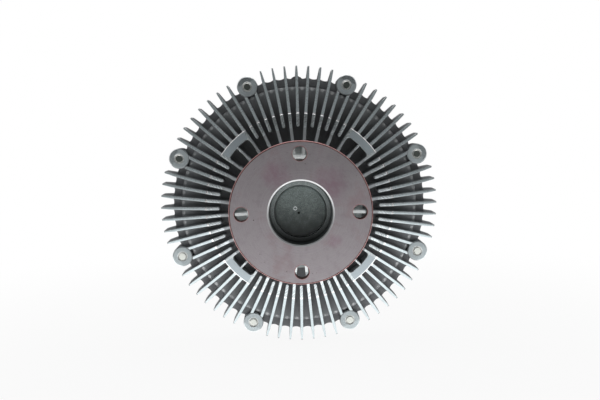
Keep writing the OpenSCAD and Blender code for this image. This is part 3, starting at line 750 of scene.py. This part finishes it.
@dataclass(frozen=True)
class FlangeSteel:
    """A turned face with a mauve tint and rust-red blotches, a phosphated bore with painted shade low down
    and in its bottom corner, a chamfer with a painted highlight, and oxide elsewhere.

    Each dark patch, a real discolouring that also paints shade on the upper face, is given by how far right
    and up it lies, and by its reach.
    """

    name: str
    bore_r: float = 20.0
    bore_chamfer: float = 0.7
    bore_depth: float = 11.0
    hole_count: int = 4
    hole_pcr: float = 37.0
    hole_r: float = 4.5
    rim_r: float = 45.0
    # Dark patches: real discolouring that also paints shade over the upper face
    stains_and_shade: Sequence[tuple[float, float, float]] = (
        (18.0, 17.0, 15.0),
        (-15.0, 24.0, 12.0),
        (21.0, -18.0, 5.5),
    )
    face: Colour = (0.385, 0.362, 0.376)
    face_dark: Colour = (0.25, 0.213, 0.235)
    blotch: Colour = (0.29, 0.185, 0.195)
    stain_and_shade: Colour = (0.3, 0.215, 0.255)
    red: Colour = (0.5, 0.23, 0.23)
    rim_edge: Colour = (0.74, 0.42, 0.42)
    dark_tone: Colour = (0.155, 0.075, 0.062)
    oxide_dark: Colour = (0.05, 0.028, 0.026)
    phosphate: Colour = (0.24, 0.27, 0.268)
    phosphate_pale: Colour = (0.45, 0.5, 0.495)
    # Painted shade for the lower bore and its bottom corner
    painted_shade: Colour = (0.035, 0.04, 0.04)
    # Colours of the painted highlight on the bore's chamfer, at its top and at its bottom
    bright: Colour = (0.95, 0.96, 0.97)
    bright_low: Colour = (0.42, 0.43, 0.44)

    def make(self) -> Material:
        """Makes the material.

        Returns:
            The material.
        """
        g = Finish(self.name)
        radius = g.radius()
        _, depth, z = g.split(g.place)
        facing = g.times(g.split(g.normal)[1], Side.PUMP.value)
        front = g.ramp(facing, 0.93, 0.985)
        corner = g.times(g.ramp(facing, 0.25, 0.45), g.above(radius, self.rim_r - 0.35, 0.15))
        in_chamfer = self.bore_chamfer - 0.05
        in_bore = g.times(g.within(radius, self.bore_r + 0.1, 0.1), g.above(depth, in_chamfer, 0.1))
        chamfer = g.times(
            g.within(radius, self.bore_r + self.bore_chamfer + 0.25, 0.3), g.within(depth, in_chamfer, 0.1)
        )

        cloud = g.noise(48.0, 5.0, 0.62)
        lines = g.lathe_lines(2600.0)
        ragged = g.noise(420.0, 5.0, 0.65)
        crust = g.mix(g.ramp(g.noise(260.0, 6.0, 0.65), 0.35, 0.7), self.dark_tone, self.oxide_dark)
        base = g.mix(front, crust, self.turned_face(g, radius, cloud, lines, ragged))
        base = g.mix(corner, base, self.rim_edge)
        base = g.mix(in_bore, base, self.bore_coat(g, radius, depth, z))
        # Painted highlight on the bore's chamfer: bright at the top and dimmer low down, as the light falls
        ring = g.mix(g.ramp(z, -self.bore_r * MM, self.bore_r * MM), self.bright_low, self.bright)
        base = g.mix(chamfer, base, ring)

        bare = g.most(front, chamfer, corner)
        rough = g.minus(g.ramp(cloud, 0.35, 0.7, 0.66, 0.76), g.times(bare, 0.26))
        relief = g.bump(g.times(lines, front), 0.18, 0.1)
        relief = g.bump(g.times(ragged, g.minus(1.0, bare)), 0.3, 0.3, relief)
        return g.ends_in(base, g.ramp(in_bore, 0.0, 1.0, 0.9, 0.3), rough, relief)

    def turned_face(self, g: Graph, radius: Socket, cloud: Socket, lines: Socket, ragged: Socket) -> Socket:
        """Turning lines, blotches, dark patches that are part discolouring and part painted shade on the
        upper face, and red edges at its rim and holes.

        Args:
            g: the material's nodes.
            radius: distance from the axis.
            cloud: wide noise.
            lines: the turning lines.
            ragged: fine noise.

        Returns:
            The face's colour.
        """
        rim = g.above(radius, self.rim_r - 0.9, 0.5)
        hole = g.within(g.to_nearest(self.hole_count, 0.0, self.hole_pcr), self.hole_r + 0.1, 0.5)
        edge = g.times(g.most(rim, hole), g.ramp(ragged, 0.3, 0.65, 0.3, 1.0))
        fine_cloud = g.noise(210.0, 5.0, 0.65)
        # Dark patches, part real discolouring and part painted shade on the upper face
        stains_and_shade = [g.within(g.from_point((x, z)), 0.2 * reach, 0.8 * reach) for x, z, reach in self.stains_and_shade]
        stained_and_shaded = g.times(g.most(*stains_and_shade), g.ramp(fine_cloud, 0.35, 0.6, 0.4, 0.9))
        face = g.mix(g.ramp(lines, 0.3, 0.72, 0.0, 0.45), self.face, self.face_dark)
        face = g.mix(g.ramp(fine_cloud, 0.45, 0.75, 0.0, 0.4), face, self.face_dark)
        face = g.mix(g.ramp(cloud, 0.5, 0.7, 0.0, 0.42), face, self.blotch)
        face = g.mix(g.ramp(g.noise(700.0, 2.0, 0.5), 0.7, 0.76), face, self.oxide_dark)
        face = g.mix(g.ramp(g.noise(1900.0, 3.0, 0.6), 0.4, 0.7, 0.0, 0.3), face, self.face_dark)
        face = g.mix(stained_and_shaded, face, self.stain_and_shade)
        return g.mix(edge, face, self.red)

    def bore_coat(self, g: Graph, radius: Socket, depth: Socket, z: Socket) -> Socket:
        """Speckled coat in the bore, with painted shade low down, and painted shade and grime in the corner
        at its bottom.

        Args:
            g: the material's nodes.
            radius: distance from the axis.
            depth: place along the axis.
            z: height over the axis.

        Returns:
            The bore's colour.
        """
        speck = g.noise(2600.0, 3.0, 0.7)
        coat = g.mix(g.ramp(speck, 0.42, 0.66), self.phosphate, self.phosphate_pale)
        # Painted shade: the bore darkens towards its bottom
        coat = g.mix(g.ramp(z, -self.bore_r * MM, self.bore_r * MM, 0.85, 0.0), coat, self.painted_shade)
        from_wall = g.minus(radius, self.bore_r * MM)
        from_floor = g.minus(depth, self.bore_depth * MM)
        to_corner = g.length(g.join(from_wall, from_floor, 0.0))
        # Painted shade and grime in the corner at the bore's bottom
        return g.mix(g.times(g.within(to_corner, 0.4, 1.0), 0.85), coat, self.painted_shade)


@dataclass(frozen=True)
class SpeckledSteel:
    """Dark phosphated steel with fine speckle, rubbed patches, painted shade towards the bottom, a painted
    highlight with some wear round its edge, a punch mark painted dark as shade in its pit, and a bright
    ring round a dent.

    The punch mark and the dent are given by how far right and up they lie.
    """

    name: str
    speckles: float = 2600.0
    # Height over which painted shade darkens the lower part
    shade_span: float = 15.0
    edge_r: float = 16.5
    punch: Point = (-1.1, -0.9)
    punch_r: float = 0.6
    dent: Point = (-3.3, 1.9)
    dent_r: float = 0.62
    dent_ring: float = 1.15
    dark: Colour = (0.125, 0.152, 0.147)
    pale: Colour = (0.3, 0.35, 0.34)
    # Painted shade for the lower part
    painted_shade: Colour = (0.03, 0.036, 0.035)
    # Painted shade for the punch mark's pit
    pit_shade: Colour = (0.008, 0.008, 0.008)
    bare: Colour = (0.74, 0.77, 0.78)

    def make(self) -> Material:
        """Makes the material.

        Returns:
            The material.
        """
        g = Finish(self.name)
        radius = g.radius()
        facing = g.times(g.split(g.normal)[1], Side.PUMP.value)
        speck = g.noise(self.speckles, 3.0, 0.7)
        rubbed = g.noise(240.0, 4.0, 0.6)
        base = g.mix(g.ramp(speck, 0.42, 0.66), self.dark, self.pale)
        base = g.mix(g.ramp(rubbed, 0.5, 0.75, 0.0, 0.45), base, self.pale)
        # Painted shade: darker towards the bottom, with a ragged edge
        level = g.plus(g.split(g.place)[2], g.ramp(rubbed, 0.3, 0.7, -2.0 * MM, 2.0 * MM))
        low_shade = g.ramp(level, -self.shade_span * MM, self.shade_span * MM, 0.97, 0.0)
        base = g.mix(low_shade, base, self.painted_shade)
        # Painted highlight with some wear: a bright ring on the rounded edge
        worn = g.times(g.above(radius, self.edge_r - 0.7, 0.4), g.within(radius, self.edge_r + 0.1, 0.1))
        base = g.mix(g.times(worn, 0.35), base, self.bare)
        # Painted shade in the punch mark's pit
        base = g.mix(g.within(g.from_point(self.punch), self.punch_r, 0.2), base, self.pit_shade)
        to_dent = g.from_point(self.dent)
        # A bright, shinier ring round the dent
        ring = g.times(g.above(to_dent, self.dent_r, 0.15), g.within(to_dent, self.dent_ring, 0.15))
        ring = g.times(ring, g.ramp(facing, 0.4, 0.6))
        base = g.mix(ring, base, self.bare)
        rough = g.minus(g.ramp(speck, 0.3, 0.7, 0.42, 0.62), g.times(ring, 0.2))
        return g.ends_in(base, g.ramp(ring, 0.0, 1.0, 0.3, 1.0), rough, g.bump(speck, 0.25, 0.2))


@dataclass(frozen=True)
class MachinedMetal:
    """A turned, ground, rolled or plated metal: fine marks, slight clouding and a tarnish.

    What lies nearer the pump than the painted end's depth is dull, and painted with light and shade: dark
    in the upper half as painted shade, and pale in the lower half as a painted reflection.
    """

    name: str
    colour: Colour
    tarnish: Colour
    roughness: float = 0.3
    marks: float = 3000.0
    clouds: float = 130.0
    # Depth and height span of the ends that are painted with light and shade
    painted_end_to: float = 0.0
    painted_end_span: float = 20.0
    # Painted shade for the upper ends, and a pale painted reflection for the lower ones
    dark_tone: Colour = (0.07, 0.08, 0.072)
    painted_end_light: Colour = (0.93, 0.96, 0.9)

    def make(self) -> Material:
        """Makes the material.

        Returns:
            The material.
        """
        g = Finish(self.name)
        _, depth, z = g.split(g.place)
        marks = g.lathe_lines(self.marks)
        cloud = g.noise(self.clouds, 4.0, 0.6)
        base = g.mix(g.ramp(cloud, 0.42, 0.75, 0.0, 0.7), self.colour, self.tarnish)
        base = g.mix(g.ramp(marks, 0.4, 0.75, 0.0, 0.25), base, self.tarnish)
        # Painted light and shade on the ends nearer the pump: upper ends dark as painted shade, lower ends
        # pale as a painted reflection
        end = g.within(depth, self.painted_end_to, 0.05)
        dull = g.mix(g.ramp(z, -self.painted_end_span * MM, self.painted_end_span * MM), self.painted_end_light, self.dark_tone)
        base = g.mix(end, base, dull)
        rough = g.ramp(cloud, 0.3, 0.7, self.roughness - 0.06, self.roughness + 0.12)
        rough = g.plus(rough, g.times(end, 0.2))
        return g.ends_in(base, g.ramp(end, 0.0, 1.0, 1.0, 0.15), rough, g.bump(marks, 0.08, 0.1))


@dataclass(frozen=True)
class MouldedRubber:
    """Matt black rubber with a dusty bloom."""

    name: str
    colour: Colour = (0.018, 0.018, 0.02)
    bloom: Colour = (0.06, 0.06, 0.062)

    def make(self) -> Material:
        """Makes the material.

        Returns:
            The material.
        """
        g = Finish(self.name)
        dust = g.noise(500.0, 5.0, 0.65)
        base = g.mix(g.ramp(dust, 0.45, 0.8), self.colour, self.bloom)
        return g.ends_in(base, 0.0, g.ramp(dust, 0.3, 0.7, 0.5, 0.72), g.bump(dust, 0.2, 0.2))


def dress(piece: Piece, material: Material) -> None:
    """Gives a piece one finish all over."""
    piece.data.materials.clear()
    piece.data.materials.append(material)


# Sub-assemblies


@dataclass
class SubAssembly:
    """A piece of the scene that stands for one node of the frame."""

    node: str
    name: str
    body: str
    slot: str

    def dress(self, piece: Piece, material: Material) -> None:
        """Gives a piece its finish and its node's place.

        Args:
            piece: the finished mesh.
            material: its finish.
        """
        dress(piece, material)
        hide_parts(self.node)


@dataclass
class EasedPart(SubAssembly):
    """A node's own shape with its outward edges rounded, as a casting or a turned part has them."""

    ease: float
    sharp_depth: Optional[float] = None
    limit_deg: float = 28.0
    merge: float = 0.02
    flat_deg: float = 1.0

    def build(self, source: Piece) -> Piece:
        """Copies the node's mesh, merges and cleans it, and rounds its edges.

        Args:
            source: the node's object, which stays as it is.

        Returns:
            The new mesh.
        """
        piece = duplicate(source, self.name)
        take(piece)
        bpy.ops.mesh.customdata_custom_splitnormals_clear()
        with editing(piece):
            bpy.ops.mesh.remove_doubles(threshold=self.merge * MM)
            bpy.ops.mesh.dissolve_limited(angle_limit=math.radians(self.flat_deg))
            bpy.ops.mesh.select_all(action="SELECT")
            bpy.ops.mesh.dissolve_degenerate(threshold=self.merge * MM)
        round_corners(piece, self.ease, self.limit_deg, self.sharp_depth)
        return piece

    def make(self, source: Piece, material: Material) -> list[Piece]:
        """Builds the part, and dresses it.

        Args:
            source: the node's object, which stays as it is.
            material: the part's finish.

        Returns:
            The one new piece.
        """
        piece = self.build(source)
        self.dress(piece, material)
        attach(piece, self.body)
        return [piece]


@dataclass
class WoundCoil(EasedPart):
    """The bimetal coil: a tab that turns with the spindle, an inner turn left attached to no body, and the
    rest.
    """

    node: str = "bimetal_coil"
    name: str = "wound_coil"
    body: str = "housing"
    slot: str = "bimetal"
    ease: float = 0.15
    inner_r: float = 5.0
    turn_r: float = 7.3
    tab_gap: float = 0.03
    split_z: float = -0.65
    tool_past: float = 1.0
    tool_steps: int = 96

    def make(self, source: Piece, material: Material) -> list[Piece]:
        """Builds the coil, splits it at the joint, and dresses each length.

        Args:
            source: the node's object, which stays as it is.
            material: the strip's finish.

        Returns:
            The tab, the inner turn and the rest.
        """
        rest = self.build(source)
        tab = duplicate(rest, "coil_tab")
        combine(tab, self.bar(self.inner_r - self.tab_gap, False), "INTERSECT")
        winding = duplicate(rest, "coil_inner_turn")
        combine(winding, self.bar(self.turn_r, True), "INTERSECT")
        combine(winding, self.bar(self.inner_r, False), "DIFFERENCE")
        combine(rest, self.bar(self.turn_r, True), "DIFFERENCE")
        lengths = [tab, winding, rest]
        for piece in lengths:
            smooth(piece)
            self.dress(piece, material)
        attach(tab, "valve")
        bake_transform(winding)
        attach(rest, self.body)
        return lengths

    def bar(self, radius: float, upper: bool) -> Piece:
        """Makes a tool on the axis, as deep as the coil and more.

        Args:
            radius: its radius in millimetres.
            upper: keeps only what lies above the split.

        Returns:
            The closed bar.
        """
        low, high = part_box(self.node)
        start = low.y / MM - self.tool_past
        end = high.y / MM + self.tool_past
        profile = ((0.0, start), (radius, start), (radius, end), (0.0, end))
        bar = turned("coil_tool", profile, self.tool_steps)
        if upper:
            with editing(bar):
                cut_off((0.0, 0.0, self.split_z), (0.0, 0.0, -1.0))
        return bar


class FastenerSet(SubAssembly):
    """Several fasteners of one kind, modelled as one piece."""

    def build(self) -> Piece:
        """Models one fastener, and sets its copies in their places."""
        raise NotImplementedError

    def make(self, material: Material) -> list[Piece]:
        """Builds the fasteners, and dresses them.

        Args:
            material: their finish.

        Returns:
            The one new piece.
        """
        piece = self.build()
        self.dress(piece, material)
        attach(piece, self.body)
        return [piece]


@dataclass
class CoverScrews(FastenerSet):
    """Eight hexagon screws through the cover's ears, with their threaded ends in the case's ears."""

    node: str = "cover_screws"
    name: str = "cover_screw_set"
    body: str = "housing"
    slot: str = "zinc_steel"
    pitch_r: float = 87.6
    count: int = 8
    first_deg: float = 22.5
    end: float = 47.6
    thread_to: float = 61.0
    seat: float = 66.9
    thread_r: float = 2.95
    thread_pitch: float = 1.0
    point: float = 0.8
    point_gap: float = 0.04
    point_sink: float = 0.13
    shank_r: float = 2.65
    shank_taper: float = 0.5
    overlap: float = 1.0
    head_af: float = 10.0
    head_t: float = 4.0
    head_flat: float = 0.25
    head_crown: float = 0.7
    steps: int = 48
    shank_steps: int = 32

    def build(self) -> Piece:
        """Models one screw, and sets its copies in the ears.

        Returns:
            The screws as one piece.
        """
        full = self.end + self.point
        screw = threaded(self.name, self.thread_r, self.thread_pitch, full, self.thread_to)
        point_r = self.thread_r - self.point_gap
        point = (
            (0.0, self.end),
            (point_r - self.point, self.end),
            (point_r, full),
            (point_r, full + self.point_sink),
            (0.0, full + self.point_sink),
        )
        combine(screw, turned("screw_point", point, self.steps), "UNION")
        combine(screw, self.head(), "UNION")
        smooth(screw)
        return set_at(screw, around(self.pitch_r, self.count, self.first_deg))

    def head(self) -> Piece:
        """Models the hexagon head with its crown, and the plain shank below it.

        Returns:
            The closed head.
        """
        top = self.seat + self.head_t
        corner_r = self.head_af / 2 / math.cos(math.pi / 6)
        past_r = 2 * (self.head_af / 2 - self.head_flat) - corner_r
        hexagon = ((0.0, self.seat), (corner_r, self.seat), (corner_r, top), (0.0, top))
        crown = (
            (0.0, self.seat - self.head_crown / 2),
            (past_r, self.seat - self.head_crown / 2),
            (corner_r, self.seat + self.head_crown / 2),
            (corner_r, top - self.head_crown),
            (past_r, top + self.head_crown),
            (0.0, top + self.head_crown),
        )
        shank = (
            (0.0, self.thread_to - self.overlap),
            (self.shank_r - self.shank_taper, self.thread_to - self.overlap),
            (self.shank_r, self.thread_to + self.shank_taper),
            (self.shank_r, self.seat + self.overlap),
            (0.0, self.seat + self.overlap),
        )
        head = turned("screw_head", hexagon, 6)
        combine(head, turned("screw_crown", crown, self.steps), "INTERSECT")
        combine(head, turned("screw_shank", shank, self.shank_steps), "UNION")
        return head


@dataclass
class FanStuds(FastenerSet):
    """Four stepped studs that carry the fan, thicker where they stand in the cover."""

    node: str = "fan_studs"
    name: str = "fan_stud_set"
    body: str = "housing"
    slot: str = "zinc_steel"
    pitch_r: float = 59.0
    count: int = 4
    first_deg: float = 45.0
    foot: float = 68.5
    face: float = 81.0
    end: float = 97.0
    overlap: float = 2.0
    thread_r: float = 3.95
    thread_pitch: float = 1.25
    foot_r: float = 4.95
    foot_pitch: float = 1.5
    point: float = 0.9
    foot_ease: float = 0.3
    room: float = 0.02
    steps: int = 48

    def build(self) -> Piece:
        """Models one stud, and sets its copies in the bosses.

        Returns:
            The studs as one piece.
        """
        start = self.face - self.overlap
        out_r = self.thread_r + self.room
        rod = (
            (0.0, start),
            (out_r, start),
            (out_r, self.end - self.point),
            (out_r - self.point, self.end),
            (0.0, self.end),
        )
        stud = self.trimmed(self.name, self.thread_r, self.thread_pitch, rod)
        out_r = self.foot_r + self.room
        foot = (
            (0.0, self.foot),
            (out_r - self.point, self.foot),
            (out_r, self.foot + self.point),
            (out_r, self.face - self.foot_ease),
            (out_r - self.foot_ease, self.face),
            (0.0, self.face),
        )
        combine(stud, self.trimmed("stud_foot", self.foot_r, self.foot_pitch, foot), "UNION")
        smooth(stud)
        return set_at(stud, around(self.pitch_r, self.count, self.first_deg))

    def trimmed(self, name: str, radius: float, pitch: float, envelope: Sequence[Point]) -> Piece:
        """Cuts a thread, and trims its ends to a turned envelope.

        Args:
            name: the piece's name.
            radius: the thread's outside radius in millimetres.
            pitch: the rise of one turn in millimetres.
            envelope: (radius, depth) points in millimetres, from end to end.

        Returns:
            The closed rod.
        """
        rod = threaded(name, radius, pitch, envelope[0][1], envelope[-1][1])
        combine(rod, turned("stud_envelope", envelope, self.steps), "INTERSECT")
        return rod


@dataclass
class BracketScrews(FastenerSet):
    """Two slotted pan-head screws that hold the coil's bracket.

    The pan's round is given by (inset, rise) points from the head's outer edge at the seat.
    """

    node: str = "bracket_screws"
    name: str = "bracket_screw_set"
    body: str = "housing"
    slot: str = "zinc_steel"
    head_r: float = 3.6
    head_t: float = 2.4
    pan: Sequence[Point] = ((0.1, 0.0), (0.0, 0.1), (0.0, 1.1), (0.22, 1.65), (0.75, 2.1), (1.6, 2.32))
    shank_r: float = 1.95
    point: float = 0.4
    slot_w: float = 0.95
    slot_depth: float = 1.1
    low_turn_deg: float = 24.0
    high_turn_deg: float = -41.0
    steps: int = 40

    def build(self) -> Piece:
        """Models one screw where the frame has it, and copies it to both places.

        Returns:
            Both screws as one piece.
        """
        low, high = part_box(self.node)
        end = low.y / MM
        top = high.y / MM
        seat = top - self.head_t
        shank = [
            (0.0, end),
            (self.shank_r - self.point, end),
            (self.shank_r, end + self.point),
            (self.shank_r, seat),
        ]
        head = [(self.head_r - inset, seat + rise) for inset, rise in self.pan]
        screw = turned(self.name, [*shank, *head, (0.0, top)], self.steps)
        bpy.ops.object.select_all(action="DESELECT")
        bpy.ops.mesh.primitive_cube_add(size=1.0)
        blade = bpy.context.active_object
        size = Matrix.Diagonal((3 * self.head_r * MM, 2 * self.slot_depth * MM, self.slot_w * MM, 1.0))
        blade.data.transform(Matrix.Translation((0.0, top * MM, 0.0)) @ size)
        combine(screw, blade, "DIFFERENCE")
        smooth(screw)
        middle_x = (low.x + high.x) / 2
        low_z = low.z + self.head_r * MM
        high_z = high.z - self.head_r * MM
        places = [
            Matrix.Translation((middle_x, 0.0, z)) @ Matrix.Rotation(math.radians(turn), 4, "Y")
            for z, turn in ((low_z, self.low_turn_deg), (high_z, self.high_turn_deg))
        ]
        return set_at(screw, places)


# Studio and camera


@dataclass
class Studio:
    """White floor and surround, a soft overhead light, and a darker room in front of the clutch.

    The pairs are where a change of light starts and ends: in metres on the floor, and for the room
    as shares of a direction's length that point from the pump's side to the fan's.
    """

    floor_z: float = -0.0949
    floor_half: float = 3.0
    floor_colour: Colour = (0.65, 0.65, 0.65)
    near_floor: Point = (0.12, 0.5)
    near_glow: float = 0.92
    mirror_sweep: Point = (-0.8, -0.3)
    mirror_glow: float = 0.1
    room_edge: Point = (-0.61, -0.6)
    room_rise: Point = (-0.38, 0.02)
    room_side: float = 0.1
    room_white: float = 1.0
    room_fall: Point = (0.2, 0.6)
    room_back: float = 0.4
    room_dim: float = 0.05
    screen_inner: Point = (-0.94, -0.85)
    screen_outer: Point = (-0.72, -0.6)
    screen: float = 0.36
    top_at: tuple[float, float, float] = (0.0, 0.15, 0.9)
    top_aim: tuple[float, float, float] = (0.0, 0.05, 0.0)
    top_side: float = 0.7
    top_power: float = 1.6
    table_y: float = -0.06
    table_side: float = 0.62
    table_power: float = 1.3
    table_gap: float = 0.1

    def build(self) -> None:
        """Makes the floor, the world and the lamps."""
        self.lay_floor()
        self.light_world()
        self.hang_lamp("top_light", self.top_at, self.top_aim, self.top_side, self.top_power)
        table_at = (0.0, self.table_y, self.floor_z + self.table_gap * MM)
        table_aim = (0.0, self.table_y, 1.0)
        self.hang_lamp("table_light", table_at, table_aim, self.table_side, self.table_power)

    def lay_floor(self) -> None:
        """Lays the floor, which is white to the camera and in reflections but keeps its shadow."""
        bpy.ops.object.select_all(action="DESELECT")
        bpy.ops.mesh.primitive_plane_add(size=2 * self.floor_half, location=(0.0, 0.0, self.floor_z))
        floor = bpy.context.active_object
        floor.name = "floor"
        material = bpy.data.materials.new("floor_white")
        material.use_nodes = True
        g = Graph(material.node_tree)
        ray = g.node("LightPath", {}).outputs
        near = g.ramp(g.length(g.place), *self.near_floor, self.near_glow, 1.0)
        seen = g.times(ray["Is Camera Ray"], near)
        sweep = g.ramp(g.split(g.place)[1], *self.mirror_sweep, 0.0, self.mirror_glow)
        mirrored = g.times(g.most(ray["Is Glossy Ray"], ray["Is Transmission Ray"]), sweep)
        matt = g.node("BsdfDiffuse", {"Color": self.floor_colour}).outputs[0]
        glow = g.node("Emission", {"Color": WHITE}).outputs[0]
        blend = g.node("MixShader", {0: g.most(seen, mirrored), 1: matt, 2: glow}).outputs[0]
        g.node("OutputMaterial", {"Surface": blend})
        dress(floor, material)

    def light_world(self) -> None:
        """Makes a white surround behind the clutch, and a dark room in front with a ring of screens."""
        world = bpy.data.worlds.new("studio")
        bpy.context.scene.world = world
        world.use_nodes = True
        g = Graph(world.node_tree)
        y = g.split(g.direction)[1]
        rise = g.ramp(y, *self.room_rise, self.room_side, self.room_white)
        fall = g.ramp(y, *self.room_fall, 1.0, self.room_back)
        inner = g.ramp(y, *self.screen_inner, self.room_dim, self.screen)
        outer = g.ramp(y, *self.screen_outer, 1.0, self.room_side)
        room = g.most(g.times(rise, fall, g.ramp(y, *self.room_edge)), g.times(inner, outer))
        seen = g.node("LightPath", {}).outputs["Is Camera Ray"]
        strength = g.node("Mix", {0: seen, 2: room, 3: 1.0}).outputs[0]
        glow = g.node("Background", {"Color": WHITE, "Strength": strength}).outputs[0]
        g.node("OutputWorld", {"Surface": glow})

    def hang_lamp(
        self, name: str, at: Sequence[float], aim: Sequence[float], side: float, power: float
    ) -> None:
        """Hangs one soft lamp.

        Args:
            name: the lamp's name.
            at: its place in metres.
            aim: the point that it faces.
            side: its side in metres.
            power: its power in watts.
        """
        data = bpy.data.lights.new(name, "AREA")
        data.size = side
        data.energy = power
        lamp = bpy.data.objects.new(name, data)
        lamp.location = at
        lamp.visible_camera = False
        lamp.rotation_euler = (Vector(aim) - Vector(at)).to_track_quat("-Z", "Y").to_euler()
        bpy.context.collection.objects.link(lamp)


@dataclass
class Viewpoint:
    """The camera: slightly above and left of the axis, on the pump's side."""

    azimuth_deg: float = -1.09
    elevation_deg: float = 5.55
    distance: float = 0.51
    lens: float = 44.7
    roll_deg: float = -1.19
    target: Vector = field(default_factory=lambda: Vector((0.0, 0.048, 0.0)))
    offset_px: Point = (-0.67, 5.27)
    frame_px: float = 600.0
    sensor: float = 36.0
    near_clip: float = 0.01

    def build(self) -> None:
        """Sets the camera so that the target falls at its offset from the picture's middle."""
        azimuth = math.radians(self.azimuth_deg)
        elevation = math.radians(self.elevation_deg)
        level = math.cos(elevation)
        back = Vector((math.sin(azimuth) * level, -math.cos(azimuth) * level, math.sin(elevation)))
        data = bpy.data.cameras.new("camera")
        data.lens = self.lens
        data.sensor_width = self.sensor
        data.clip_start = self.near_clip
        camera = bpy.data.objects.new("camera", data)
        roll = Matrix.Rotation(math.radians(self.roll_deg), 3, "Z")
        turn = (-back).to_track_quat("-Z", "Y").to_matrix() @ roll
        focal_px = self.lens / self.sensor * self.frame_px
        right, down = (px / focal_px * self.distance for px in self.offset_px)
        camera.location = self.target + back * self.distance + turn @ Vector((-right, down, 0.0))
        camera.rotation_euler = turn.to_euler()
        bpy.context.collection.objects.link(camera)
        bpy.context.scene.camera = camera


# The whole clutch


def finishes() -> dict[str, Material]:
    """Makes the finishes.

    Returns:
        The finish of each material slot, and the rear case's own under its name.
    """
    rear = CastAlloy(
        "rear_cast_alloy",
        Side.PUMP,
        crest=((63.4, 39.1), (93.2, 48.4)),
        step=1.1,
        ear_face=48.0,
        shoulder_depth=50.4,
        hub_r=43.0,
    )
    front = CastAlloy(
        "front_cast_alloy",
        Side.FAN,
        crest=((62.3, 79.0), (93.2, 67.9)),
        step=0.0,
        ear_face=65.5,
        shoulder_depth=70.6,
        hub_r=0.0,
    )
    zinc = MachinedMetal(
        "zinc_steel", (0.82, 0.83, 0.8), (0.66, 0.67, 0.63), 0.15, painted_end_to=CoverScrews.end + 0.1
    )
    return {
        "rear_case": rear.make(),
        "cast_alloy": front.make(),
        "flange_steel": FlangeSteel("flange_steel").make(),
        "dark_steel": SpeckledSteel("dark_steel").make(),
        "bearing_steel": MachinedMetal("bearing_steel", (0.72, 0.73, 0.75), (0.6, 0.6, 0.61), 0.16).make(),
        "cage_brass": MachinedMetal("cage_brass", (0.62, 0.47, 0.22), (0.42, 0.3, 0.14), 0.3).make(),
        "black_rubber": MouldedRubber("black_rubber").make(),
        "zinc_steel": zinc.make(),
        "sheet_steel": MachinedMetal("sheet_steel", (0.56, 0.56, 0.55), (0.4, 0.39, 0.38), 0.34).make(),
        "bimetal": MachinedMetal("bimetal", (0.5, 0.42, 0.3), (0.33, 0.26, 0.18), 0.36).make(),
    }


def main() -> None:
    """Builds the pieces in order, dresses them, and sets the studio and the camera."""
    logging.basicConfig(level=logging.INFO, format="%(name)s: %(message)s")
    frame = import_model()
    bpy.context.scene.view_settings.view_transform = "Standard"
    Viewpoint().build()
    Studio().build()

    finish = finishes()
    slot_of = {part["node"]: part["material_slot"] for part in frame["record"]["subparts"]}
    for name, node in frame["nodes"].items():
        dress(node, finish[slot_of[name]])

    pieces = []
    for part in (
        EasedPart("rear_case", "rear_casting", "housing", "cast_alloy", 0.28, JOINT_DEPTH),
        EasedPart("front_cover", "front_casting", "housing", "cast_alloy", 0.28, JOINT_DEPTH),
        EasedPart("drive_flange", "turned_flange", "drive", "flange_steel", 0.2),
        EasedPart("coil_bracket", "pressed_bracket", "housing", "sheet_steel", 0.2),
        EasedPart("valve_spindle", "turned_spindle", "valve", "sheet_steel", 0.12),
        WoundCoil(),
    ):
        pieces += part.make(frame["nodes"][part.node], finish.get(part.node, finish[part.slot]))
    for fasteners in (CoverScrews(), FanStuds(), BracketScrews()):
        pieces += fasteners.make(finish[fasteners.slot])
    for piece in pieces:
        LOG.info("%s: %d faces", piece.name, len(piece.data.polygons))


if __name__ == "__main__":
    main()
